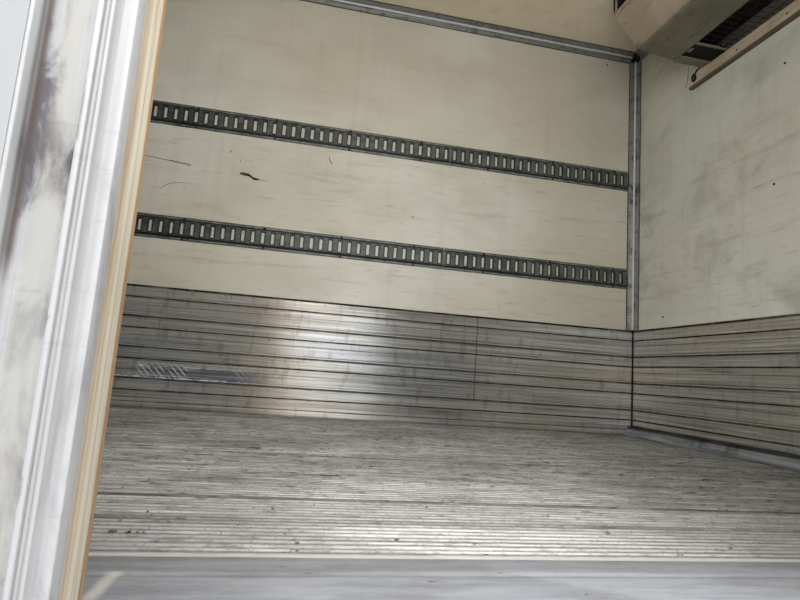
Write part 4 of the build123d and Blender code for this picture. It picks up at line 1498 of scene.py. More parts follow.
class Workshop:
    """Makes pieces, says what each rides on, and hides the frame node that each stands for."""

    def __init__(self, frame: dict, shell: Shell) -> None:
        """Read the record's slots and get the finishes ready.

        Args:
            shell: The box's main planes.
        """
        self.nodes = frame["nodes"]
        self.slots = {row["node"]: row["material_slot"] for row in frame["record"]["subparts"]}
        self.joints = {joint["child"]: joint for joint in frame["joints"]}
        self.shell = shell
        self.recipes = self.recipe_table()
        self.made: dict[Coat, bpy.types.Material] = {}

    def recipe_table(self) -> dict:
        """Give the recipe of each finish."""
        shell = self.shell
        frame_low, frame_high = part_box("side_door_frame")
        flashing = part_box("base_flashing")[1].z
        return {
            Coat.PANEL: PanelFinish(shell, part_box("return_air_guard")[0].z),
            Coat.DOOR_SKIN: PaintFinish(
                tone(226, 228, 227), tone(208, 210, 208), stain=tone(140, 132, 118),
                roughness=0.34, chip_share=0.1, stain_share=0.2,
            ),
            Coat.UNDERSIDE: PaintFinish(tone(96, 84, 66), tone(72, 62, 50), roughness=0.7, stain_share=0.5),
            # Trim: painted shade darkens it towards the ceiling.
            Coat.TRIM: MetalFinish(
                tone(178, 179, 177), tone(134, 134, 129), tone(48, 44, 38), roughness=0.42, dirt_share=0.85,
                dirt_scale=14.0, metallic=0.35, painted_shade_heights=(shell.floor + 1.2, shell.ceiling), painted_shade_share=0.30,
            ),
            Coat.FRAME: FrameFinish(
                frame_low.x + FRAME_BAND, frame_high.x - FRAME_BAND, frame_high.z - FRAME_BAND,
                shell.half_outer,
            ),
            Coat.RAIL: MetalFinish(
                tone(198, 199, 200), tone(150, 151, 151), tone(96, 90, 80), roughness=0.34, dirt_share=0.3
            ),
            Coat.SCUFF: ScuffFinish(shell),
            Coat.FLOOR: FloorFinish(shell),
            Coat.PLATE: PlateFinish(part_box("threshold_plate")[1].y),
            # Flashing: a painted shadow darkens the band along its top edge.
            Coat.FLASHING: MetalFinish(
                tone(172, 178, 184), tone(120, 124, 128), tone(56, 53, 48), roughness=0.40, grain=Axis.Y,
                grain_scale=60.0, dirt_share=0.8, dirt_scale=8.0, metallic=0.4,
                painted_shade_heights=(flashing - 0.020, flashing - 0.011),
            ),
            Coat.TRACK: TrackFinish(shell.floor + 0.9144, shell.bulkhead - 0.095),
            Coat.BLACK_STEEL: PaintFinish(
                tone(44, 44, 46), tone(32, 32, 34), tone(96, 70, 50), tone(84, 76, 64),
                roughness=0.5, chip_share=0.5, stain_share=0.45,
            ),
            Coat.ZINC: MetalFinish(
                tone(184, 187, 190), tone(140, 143, 147), tone(92, 88, 80), roughness=0.40, grain=Axis.Z,
                grain_scale=60.0, dirt_scale=14.0,
            ),
            Coat.JAMB_WOOD: JambFinish(shell.half_inner),
            Coat.BATTEN_WOOD: BattenFinish(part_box("bulkhead_batten")[0].z),
            Coat.RUBBER: RubberFinish(),
            Coat.UNIT_SHELL: UnitFinish(
                shell.ceiling - 0.385, shell.ceiling - NOSE_DROP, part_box("evaporator_housing")[0].x
            ),
            Coat.NOSE_SHELL: PaintFinish(
                tone(226, 227, 224), tone(204, 206, 203), stain=tone(130, 124, 110),
                roughness=0.3, chip_share=0.08, stain_share=0.25,
            ),
            Coat.COIL: FinFinish(),
            Coat.WIRE: PaintFinish(tone(40, 40, 38), tone(28, 28, 26), roughness=0.5),
            Coat.LENS: LensFinish(),
            Coat.DARK_GAP: PaintFinish(tone(30, 26, 22), tone(20, 17, 14), tone(60, 50, 38), roughness=0.8),
            Coat.STAGE: StageFinish(),
        }

    def coat(self, coat: Coat) -> bpy.types.Material:
        """Give a finish's material, made the first time it is asked for.

        Args:
            coat: The finish.

        Returns:
            The material.
        """
        if coat not in self.made:
            self.made[coat] = self.recipes[coat].build(coat.value)
        return self.made[coat]

    def piece(
        self, name: str, form: Form, coat: Coat, slot: str = "", body: str = BOX, replaces: str = "",
        smooth: float = 35.0,
    ) -> None:
        """Make a piece from a form.

        Args:
            name: The piece's name.
            form: Its solids.
            coat: Its finish.
            slot: The record's material slot; not used.
            body: The body it rides on.
            replaces: The frame node that it stands for, if any.
            smooth: Angle in degrees up to which it is smooth.
        """
        piece = bpy.data.objects.new(name, form.finished(name, smooth))
        bpy.context.scene.collection.objects.link(piece)
        piece.data.materials.append(self.coat(coat))
        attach(piece, body)
        if replaces:
            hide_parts(replaces)
        log.info("%s: %d faces on %s", name, len(piece.data.polygons), body)

    def keep(self, node: str, coat: Coat) -> None:
        """Leave a frame node as it is and give it a finish.

        Args:
            node: The node's name.
            coat: The finish.
        """
        kept = self.nodes[node]
        kept.data.materials.clear()
        kept.data.materials.append(self.coat(coat))
        log.info("%s: kept", node)

    def soften(self, node: str, coat: Coat, edge: float, segments: int = 2) -> None:
        """Stand a copy with rounded edges for a frame node, and give it a finish.

        Args:
            node: The node's name.
            coat: The finish.
            edge: Radius of the rounded edges.
            segments: Number of faces across each edge.
        """
        form = Form()
        form.solid(self.nodes[node], edge, segments)
        self.piece(f"{node}_dressed", form, coat, body=self.nodes[node]["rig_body"], replaces=node)


@dataclass
class Panels:
    """Walls, roof and floor panel, with the marks that years of cargo left on them."""

    shop: Workshop
    gouge: tuple[Point, ...] = (
        (-0.209, 1.249, 0.0020), (-0.198, 1.252, 0.0070), (-0.183, 1.251, 0.0085), (-0.166, 1.249, 0.0075),
        (-0.152, 1.244, 0.0055), (-0.143, 1.237, 0.0050), (-0.131, 1.231, 0.0065), (-0.114, 1.231, 0.0050),
        (-0.103, 1.230, 0.0015), (-0.084, 1.228, 0.0009), (-0.062, 1.225, 0.0005),
    )
    splinter: tuple[Point, ...] = ((-0.202, 1.251, 0.0012), (-0.185, 1.253, 0.0042), (-0.167, 1.250, 0.0012))
    crack: tuple[Point, ...] = (
        (-0.700, 1.281, 0.0010), (-0.640, 1.277, 0.0016), (-0.590, 1.272, 0.0012), (-0.545, 1.270, 0.0020),
        (-0.510, 1.265, 0.0014), (-0.470, 1.263, 0.0022), (-0.458, 1.260, 0.0024), (-0.463, 1.252, 0.0008),
    )
    hairs: tuple[tuple[Point, ...], ...] = (
        ((-0.591, 1.112, 0.0006), (-0.579, 1.129, 0.0012), (-0.542, 1.151, 0.0010), (-0.500, 1.159, 0.0008),
         (-0.430, 1.161, 0.0004)),
        ((0.251, 1.421, 0.0006), (0.257, 1.396, 0.0020), (0.266, 1.380, 0.0022), (0.277, 1.368, 0.0008)),
        ((-0.261, 1.374, 0.0008), (-0.266, 1.365, 0.0016), (-0.271, 1.355, 0.0008)),
        ((-0.215, 1.330, 0.0008), (-0.211, 1.322, 0.0014), (-0.207, 1.313, 0.0006)),
        ((0.738, 1.138, 0.0010), (0.744, 1.131, 0.0022), (0.750, 1.124, 0.0010)),
    )
    screws_ahead: tuple[Pair, ...] = ((0.172, 1.702), (0.240, 1.180), (0.955, 0.667))
    screw_aside: Pair = (1.919, 2.269)

    def build(self) -> None:
        """Finish the panels and add the marks."""
        for node in ("left_wall", "right_wall", "front_wall", "roof_panel"):
            self.shop.keep(node, Coat.PANEL)
        self.shop.keep("floor_panel", Coat.UNDERSIDE)
        self.marks("lining_gouge", (self.gouge,), Coat.DARK_GAP, 0.0012)
        self.marks("lining_splinter", (self.splinter,), Coat.BATTEN_WOOD, 0.0022)
        self.marks("lining_crack", (self.crack,), Coat.DARK_GAP, 0.0007)
        self.marks("lining_hairs", self.hairs, Coat.DARK_GAP, 0.0006)
        self.screws()

    def marks(self, name: str, paths: Iterable[Sequence[Point]], coat: Coat, depth: float) -> None:
        """Add marks on the left lining.

        Args:
            name: The piece's name.
            paths: Each mark's points, as place along the wall, height above the floor and half its width.
            coat: The marks' finish.
            depth: How far the marks stand off the lining.
        """
        shell = self.shop.shell
        form = Form()
        for path in paths:
            points = [(x, shell.floor + rise, half) for x, rise, half in path]
            form.ribbon(points, Axis.Y, shell.half_inner - depth, shell.half_inner)
        self.shop.piece(name, form, coat, "inner_lining")

    def screws(self) -> None:
        """Add the screw heads in the front and left linings."""
        shell = self.shop.shell
        head = (0.006, 0.003, 10)
        form = Form()
        for y, rise in self.screws_ahead:
            form.rivet((shell.bulkhead, y, shell.floor + rise), (-1, 0, 0), *head)
        x, rise = self.screw_aside
        form.rivet((x, shell.half_inner, shell.floor + rise), (0, -1, 0), *head)
        self.shop.piece("lining_screws", form, Coat.DARK_GAP, "inner_lining")


@dataclass
class FloorDeck:
    """Ribbed floor plate and the smooth threshold plate in the side doorway."""

    shop: Workshop
    rib_pitch: float = 0.01905
    rib_width: float = 0.007
    rib_height: float = 0.006
    rib_round: float = 0.0012
    lining: float = 0.008
    lining_gap: float = 0.002
    crease_share: float = 0.758
    dent_share: float = 0.28
    station_pitch: float = 0.02

    def build(self) -> None:
        """Make the floor plate and the threshold plate."""
        self.ribs()
        self.threshold()

    def ribs(self) -> None:
        """Make the floor plate, its ribs rounded at their tops."""
        low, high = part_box("ribbed_floor")
        half = high.y
        count = 2 * int((half - self.rib_width) // self.rib_pitch) + 1
        first = -(count - 1) / 2 * self.rib_pitch
        base = high.z - self.rib_height
        side = self.rib_width / 2
        bend = self.rib_round
        flank = [(-side - bend / 2, base), (-side, high.z - bend), (-side + bend, high.z)]
        rib = flank + [(-place, height) for place, height in reversed(flank)]
        section = [(-half, low.z), (-half, base)]
        for number in range(count):
            section += [(first + number * self.rib_pitch + place, height) for place, height in rib]
        section += [(half, base), (half, low.z)]
        form = Form()
        form.sweep(section, Axis.X, low.x, high.x)
        self.shop.piece("floor_ribs", form, Coat.FLOOR, replaces="ribbed_floor", smooth=50.0)

    def threshold_profile(self, front: float, step: float) -> list[Pair]:
        """Give the threshold plate's section across the doorway.

        Args:
            front: Where the section starts outwards.
            step: Where the plate's inside part starts.

        Returns:
            The section's corners as distances along Y and heights.
        """
        low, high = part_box("threshold_plate")
        bevel = 0.0015 if front < step else 0.0
        crease = step + (high.y - step) * self.crease_share
        return [
            (front, low.z), (front, high.z - bevel), (front + bevel, high.z), (step, high.z),
            *((step + (crease - step) * share, high.z) for share in (0.3, 0.6, 0.85)),
            (crease - 0.006, high.z), (crease, high.z - 0.0011), (crease + 0.005, high.z - 0.0003),
            (high.y - 0.006, high.z - 0.0003), (high.y - 0.001, high.z - 0.0020), (high.y, low.z),
            (step, low.z),
        ]

    def threshold(self) -> None:
        """Make the threshold plate: wide inside, narrow through the wall, creased and dented."""
        low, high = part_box("threshold_plate")
        frame_low, frame_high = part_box("side_door_frame")
        step = -self.shop.shell.half_inner + self.lining + self.lining_gap
        rear, ahead = frame_low.x + FRAME_BAND, frame_high.x - FRAME_BAND
        wide = self.threshold_profile(step, step)
        narrow = self.threshold_profile(low.y, step)
        form = Form()
        rings = []
        for start, end, section in ((low.x, rear, wide), (rear, ahead, narrow), (ahead, high.x, wide)):
            for x in spread(start, end, self.station_pitch):
                rings.append([form.mesh.verts.new((x, y, z)) for y, z in section])
        form.skin(rings)
        thick = high.z - low.z
        for vert in form.mesh.verts:
            if vert.co.z > low.z + thick / 2:
                wave = waves.noise(Vector((vert.co.x * 7.0, vert.co.y * 11.0, 0.0)))
                vert.co.z -= thick * self.dent_share * (0.5 + 0.5 * wave)
        bmesh.ops.remove_doubles(form.mesh, verts=form.mesh.verts, dist=WELD)
        self.shop.piece("threshold_dressed", form, Coat.PLATE, replaces="threshold_plate")


@dataclass
class ScuffLining:
    """Extruded planks along the foot of the walls."""

    shop: Workshop
    pitch: float = 0.1524
    first_joint: float = 0.145
    groove_rise: float = 0.096
    second_line: float = 0.0125
    faint_line: float = 0.0615
    face: float = 0.0066
    bead: float = 0.0080
    score_depth: float = 0.0026
    gap: float = 0.0014
    foot_lip: float = 0.0306
    seam: float = 0.0022
    seam_from_bulkhead: float = 0.970
    chewed: float = 0.007

    def levels(self, low: float, high: float) -> list[Pair]:
        """Give the foot and head of each plank between two heights above the floor.

        Args:
            low: The lower height.
            high: The upper height.

        Returns:
            The planks from the lowest up.
        """
        joints = []
        joint = self.first_joint
        while joint < high - 0.02:
            joints.append(joint)
            joint += self.pitch
        cuts = [low, *(joint for joint in joints if joint > low + 0.02), high]
        return list(zip(cuts, cuts[1:]))

    def score(self, line: float, rise: float) -> list[Pair]:
        """Give the corners of a scored line at a height, between two beads where they rise.

        Args:
            line: Height of the line.
            rise: How far the beads rise, or 0 for a line without beads.

        Returns:
            The corners as depth from the wall and height.
        """
        face, floor = self.face, self.face - self.score_depth
        if rise == 0.0:
            half = [(face, 0.0019), (floor, 0.0009)]
        else:
            half = [(face, 0.0070), (face + rise, 0.0055), (face + rise, 0.0032), (floor, 0.0020)]
        below = [(depth, line - reach) for depth, reach in half]
        return below + [(depth, line + reach) for depth, reach in reversed(half)]

    def section(self, foot: float, head: float, lip: float | None = None) -> list[Pair]:
        """Give a plank's section as depth from the wall and height.

        Args:
            foot: Height of its lower edge.
            head: Height of its upper edge.
            lip: Height of a low step along its foot, if it has one.

        Returns:
            The section's corners.
        """
        base, top = foot + self.gap / 2, head - self.gap / 2
        outline = [(0.0, base), (self.face - 0.002, base)]
        if lip is None:
            outline += [(self.bead, foot + 0.003), (self.bead, foot + 0.006), (self.face, foot + 0.008)]
        else:
            outline += [(self.bead, base), (self.bead, lip - 0.002), (self.face, lip)]
        joint = self.first_joint - self.pitch
        while joint < head:
            for line, rise in ((joint + self.second_line, 0.0), (joint + self.faint_line, 0.0),
                               (joint + self.groove_rise, self.bead - self.face)):
                if foot + 0.009 < line - 0.003 and line + 0.008 < head - 0.009:
                    outline += self.score(line, rise)
            joint += self.pitch
        outline += [(self.face, head - 0.008), (self.bead, head - 0.006), (self.bead, head - 0.003)]
        return outline + [(self.face - 0.002, top), (0.0, top)]

    def build(self) -> None:
        """Line the left wall, both parts of the right wall, and the bulkhead."""
        shell = self.shop.shell
        low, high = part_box("left_scuff_liner")
        seam = shell.bulkhead - self.seam_from_bulkhead
        parts = ((low.x, seam - self.seam / 2), (seam + self.seam / 2, high.x))
        self.side("left_planks", "left_scuff_liner", 1, ((low.x, high.x),), parts)
        low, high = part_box("right_scuff_liners")
        parts = beside_doorway(low.x, high.x)
        self.side("right_planks", "right_scuff_liners", -1, parts, parts)
        self.front()
        self.flashing()
        self.sealant()

    def side(
        self, name: str, node: str, hand: int, foot_runs: Sequence[Pair], runs: Sequence[Pair]
    ) -> None:
        """Line one side wall.

        Args:
            name: The piece's name.
            node: The frame node that it stands for.
            hand: 1 on the left wall and -1 on the right.
            foot_runs: Start and end of each length of the lowest plank.
            runs: Start and end of each length of the other planks.
        """
        shell = self.shop.shell
        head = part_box(node)[1].z - shell.floor
        form = Form()
        for number, (foot, top) in enumerate(self.levels(0.0, head)):
            outline = self.section(foot, top, self.foot_lip if number == 0 else None)
            section = [(hand * (shell.half_inner - depth), shell.floor + z) for depth, z in outline]
            for start, end in foot_runs if number == 0 else runs:
                form.sweep(section, Axis.X, start, end)
        self.shop.piece(name, form, Coat.SCUFF, replaces=node, smooth=12.0)

    def front(self) -> None:
        """Line the bulkhead, the lowest plank's foot chewed by loads."""
        shell = self.shop.shell
        low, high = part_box("front_scuff_liner")
        form = Form()
        for number, (foot, head) in enumerate(self.levels(low.z - shell.floor, high.z - shell.floor)):
            section = [(shell.bulkhead - depth, shell.floor + z) for depth, z in self.section(foot, head)]
            rings = form.sweep(section, Axis.Y, low.y, high.y, steps=60 if number == 0 else 1)
            for ring in rings if number == 0 else ():
                bite = self.chewed * max(0.0, waves.noise(Vector((0.0, ring[0].co.y * 16.0, 0.0))))
                for vert in ring[:4]:
                    vert.co.z += bite
        self.shop.piece("front_planks", form, Coat.SCUFF, replaces="front_scuff_liner", smooth=12.0)

    def flashing(self) -> None:
        """Dress the flashing at the bulkhead's foot, bent a little by years of loads."""
        low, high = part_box("base_flashing")
        form = Form()
        form.solid(self.shop.nodes["base_flashing"], 0.0012)
        form.divide(Axis.Y, spread(low.y, high.y, 0.03)[1:-1])
        form.wear(0.0022, 15.0)
        form.keep_within(low, high)
        self.shop.piece("flashing_dressed", form, Coat.FLASHING, replaces="base_flashing")

    def sealant(self) -> None:
        """Run worn dark sealant up the lining's two front corners."""
        shell = self.shop.shell
        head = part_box("left_scuff_liner")[1].z - 0.002
        inset = self.face + 0.002
        form = Form()
        for hand in HANDS:
            x, y = shell.bulkhead - inset, hand * (shell.half_inner - inset)
            section = [(x + u, y + v) for u, v in rounded(0.008, 0.008, 0.002, 2)]
            form.sweep(section, Axis.Z, shell.floor + 0.002, head, steps=80)
        form.wear(0.0018, 55.0)
        self.shop.piece("corner_sealant", form, Coat.DARK_GAP, "scuff_aluminium")


@dataclass
class CargoTracks:
    """Slotted tracks along both walls."""

    shop: Workshop
    slot_pitch: float = 0.0508
    slot_first: float = 0.095
    slot_width: float = 0.017
    slot_height: float = 0.060
    slot_round: float = 0.0035
    half_height: float = 0.062
    sheet: float = 0.0026
    flange: float = 0.022
    bend: float = 0.003
    end_margin: float = 0.017
    lip_thickness: float = 0.0014
    lip_depth: float = 0.0092
    joint_from_bulkhead: float = 1.188
    joint_gap: float = 0.002
    fastener_every: int = 8
    fastener_first: float = 0.1408

    def build(self) -> None:
        """Make the four tracks and their fasteners."""
        joint = self.shop.shell.bulkhead - self.joint_from_bulkhead
        for side, hand in (("left", 1), ("right", -1)):
            for level in ("lower", "upper"):
                name = f"{side}_{level}_track"
                low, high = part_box(name)
                if side == "left":
                    runs = ((low.x, joint - self.joint_gap / 2), (joint + self.joint_gap / 2, high.x))
                else:
                    runs = beside_doorway(low.x, high.x)
                rail = Form()
                pins = Form()
                for start, end in runs:
                    self.run(rail, start, end, (low.z + high.z) / 2, hand, high.y - low.y)
                    self.fasteners(pins, start, end, (low.z, high.z), hand)
                self.shop.piece(f"{name}_rail", rail, Coat.TRACK, replaces=name)
                self.shop.piece(f"{name}_screws", pins, Coat.DARK_GAP, "track_paint")

    def run(self, form: Form, start: float, end: float, middle: float, hand: int, depth: float) -> None:
        """Add one length of track.

        Args:
            form: Where it goes.
            start: Its rear end.
            end: Its front end.
            middle: Height of its centre line.
            hand: 1 on the left wall and -1 on the right.
            depth: How far it stands off the wall.
        """
        wall = hand * self.shop.shell.half_inner
        sheet, bend, half = self.sheet, self.bend, self.half_height
        crown = half - self.flange
        flat = crown - bend
        back = depth - sheet
        section = (
            (0.0, half), (sheet * 0.6, half), (sheet, half - 0.0006), (sheet, crown + bend),
            (sheet + 0.0012, crown + 0.001), (depth - bend, crown - 0.0004), (depth - 0.0009, crown - 0.0012),
            (depth, flat), (back, flat), (back, crown - sheet), (sheet, crown - sheet), (0.0, crown),
        )
        for rise in HANDS:
            form.sweep([(wall - hand * out, middle + rise * up) for out, up in section], Axis.X, start, end)
        rim = self.lip_thickness
        slot = rounded(self.slot_width, self.slot_height, self.slot_round, 3)
        collar = rounded(self.slot_width + 2 * rim, self.slot_height + 2 * rim, self.slot_round + rim, 3)
        loops = [rectangle((start, middle - flat), (end, middle + flat))]
        collars = []
        place = self.shop.shell.bulkhead - self.slot_first
        while place > start:
            if start + self.end_margin < place < end - self.end_margin:
                hole, edge = ([(place + u, middle + v) for u, v in loop] for loop in (slot, collar))
                loops.append(hole)
                collars += [edge, hole]
            place -= self.slot_pitch
        form.plate(loops, Axis.Y, wall - hand * depth, wall - hand * back)
        form.plate(collars, Axis.Y, wall - hand * back, wall - hand * (back - self.lip_depth))

    def fasteners(self, form: Form, start: float, end: float, heights: Pair, hand: int) -> None:
        """Add the fasteners of one length, in pairs on its two flanges.

        Args:
            form: Where they go.
            start: The length's rear end.
            end: Its front end.
            heights: The track's foot and head.
            hand: 1 on the left wall and -1 on the right.
        """
        shell = self.shop.shell
        face = hand * (shell.half_inner - self.sheet)
        inset = self.flange * 0.42
        place = shell.bulkhead - self.fastener_first
        while place > start + 0.02:
            if place < end - 0.01:
                for height in (heights[0] + inset, heights[1] - inset):
                    form.rivet((place, face, height), (0, -hand, 0), 0.0062, 0.0026, 10)
            place -= self.slot_pitch * self.fastener_every


@dataclass
class CoveTrims:
    """Cove trims along the ceiling and up the two front corners."""

    shop: Workshop
    leg: float = 0.048
    hollow: float = 0.007
    lip: float = 0.0026
    lip_width: float = 0.007
    bead: float = 0.0028
    bead_inset: float = 0.0200
    bead_radius: float = 0.0050
    seal_radius: float = 0.0024
    seal_inset: float = 0.0008
    seal_step: float = 0.02
    screw_pitch: float = 0.42
    cap: float = 0.044
    cap_gap: float = 0.0005

    def section(self) -> list[Pair]:
        """Give the cove's section in its corner, as distances along the two faces."""
        start = Vector((self.leg - self.lip_width, self.lip))
        end = Vector((self.lip, self.leg - self.lip_width))
        inwards = Vector((-1.0, -1.0)).normalized()
        outline = [(0.0, 0.0), (self.leg, 0.0), (self.leg, self.lip * 0.5), (self.leg - 0.0012, self.lip)]
        steps = 12
        for step in range(steps + 1):
            share = step / steps
            point = start.lerp(end, share) + inwards * self.hollow * 4 * share * (1 - share)
            if step * 2 == steps:
                point -= inwards * self.bead
            outline.append((point.x, point.y))
        return outline + [(self.lip, self.leg - 0.0012), (self.lip * 0.5, self.leg), (0.0, self.leg)]

    def starts(self) -> Pair:
        """Give where the beads and sealant start: along the ceiling from the rear, and up from the foot."""
        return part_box("ceiling_trims")[0].x + 0.001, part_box("corner_trims")[0].z + 0.001

    def build(self) -> None:
        """Make the trims, their screws, beads and sealant, and the caps where they meet."""
        self.coves()
        self.screws()
        self.beads()
        self.sealant()
        self.caps()

    def coves(self) -> None:
        """Run the cove along the ceiling and up the two front corners."""
        shell = self.shop.shell
        low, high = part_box("ceiling_trims")
        foot, head = (corner.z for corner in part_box("corner_trims"))
        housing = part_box("evaporator_housing")[1].y
        section = self.section()
        ceiling = Form()
        upright = Form()
        for hand in HANDS:
            placed = [(hand * (shell.half_inner - u), shell.ceiling - v) for u, v in section]
            ceiling.sweep(placed, Axis.X, low.x, high.x)
            placed = [(shell.bulkhead - u, shell.ceiling - v) for u, v in section]
            ceiling.sweep(placed, Axis.Y, hand * (shell.half_inner - self.leg), hand * housing)
            placed = [(shell.bulkhead - u, hand * (shell.half_inner - v)) for u, v in section]
            upright.sweep(placed, Axis.Z, foot, head)
        self.shop.piece("ceiling_coves", ceiling, Coat.TRIM, replaces="ceiling_trims")
        self.shop.piece("corner_coves", upright, Coat.TRIM, replaces="corner_trims")

    def screws(self) -> None:
        """Add the screws along the two side coves of the ceiling."""
        shell = self.shop.shell
        low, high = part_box("ceiling_trims")
        out = self.leg * 0.36
        form = Form()
        for hand in HANDS:
            for x in spread(low.x + 0.1, high.x - 0.2, self.screw_pitch):
                centre = (x, hand * (shell.half_inner - out), shell.ceiling - out)
                form.rivet(centre, (0, -hand, -1), 0.006, 0.004, 10)
        self.shop.piece("cove_screws", form, Coat.ZINC, "aluminium")

    def beads(self) -> None:
        """Run a pale round bead along the middle of each cove, up to the caps, as a painted highlight."""
        shell = self.shop.shell
        rear, foot = self.starts()
        x, z = shell.bulkhead - self.bead_inset, shell.ceiling - self.bead_inset
        form = Form()
        for hand in HANDS:
            y = hand * (shell.half_inner - self.bead_inset)
            form.tube(((x, y, foot), (x, y, shell.ceiling - self.cap)), self.bead_radius)
            form.tube(((rear, y, z), (shell.bulkhead - self.cap, y, z)), self.bead_radius)
        # Painted highlight: the beads wear the pale frame finish.
        self.shop.piece("cove_bead_highlights", form, Coat.FRAME, "aluminium")

    def sealant(self) -> None:
        """Run worn sealant along both edges of each cove."""
        shell = self.shop.shell
        rear, foot = self.starts()
        lengths = spread(rear, shell.bulkhead - self.leg, self.seal_step)
        heights = spread(foot, shell.ceiling - self.leg, self.seal_step)
        form = Form()
        for hand in HANDS:
            for first, second in ((self.leg, self.seal_inset), (self.seal_inset, self.leg)):
                side = hand * (shell.half_inner - second)
                form.tube([(shell.bulkhead - first, side, z) for z in heights], self.seal_radius, 6)
                form.tube([(x, side, shell.ceiling - first) for x in lengths], self.seal_radius, 6)
        form.wear(0.0012, 70.0)
        self.shop.piece("cove_sealant", form, Coat.DARK_GAP, "aluminium")

    def caps(self) -> None:
        """Close the corners where the coves meet with dark caps."""
        shell = self.shop.shell
        form = Form()
        for hand in HANDS:
            near, far = (
                (shell.bulkhead - inset, hand * (shell.half_inner - inset), shell.ceiling - inset)
                for inset in (self.cap, self.cap_gap)
            )
            form.slab(near, far, 0.005, 3)
        self.shop.piece("cove_caps", form, Coat.DARK_GAP, "aluminium")


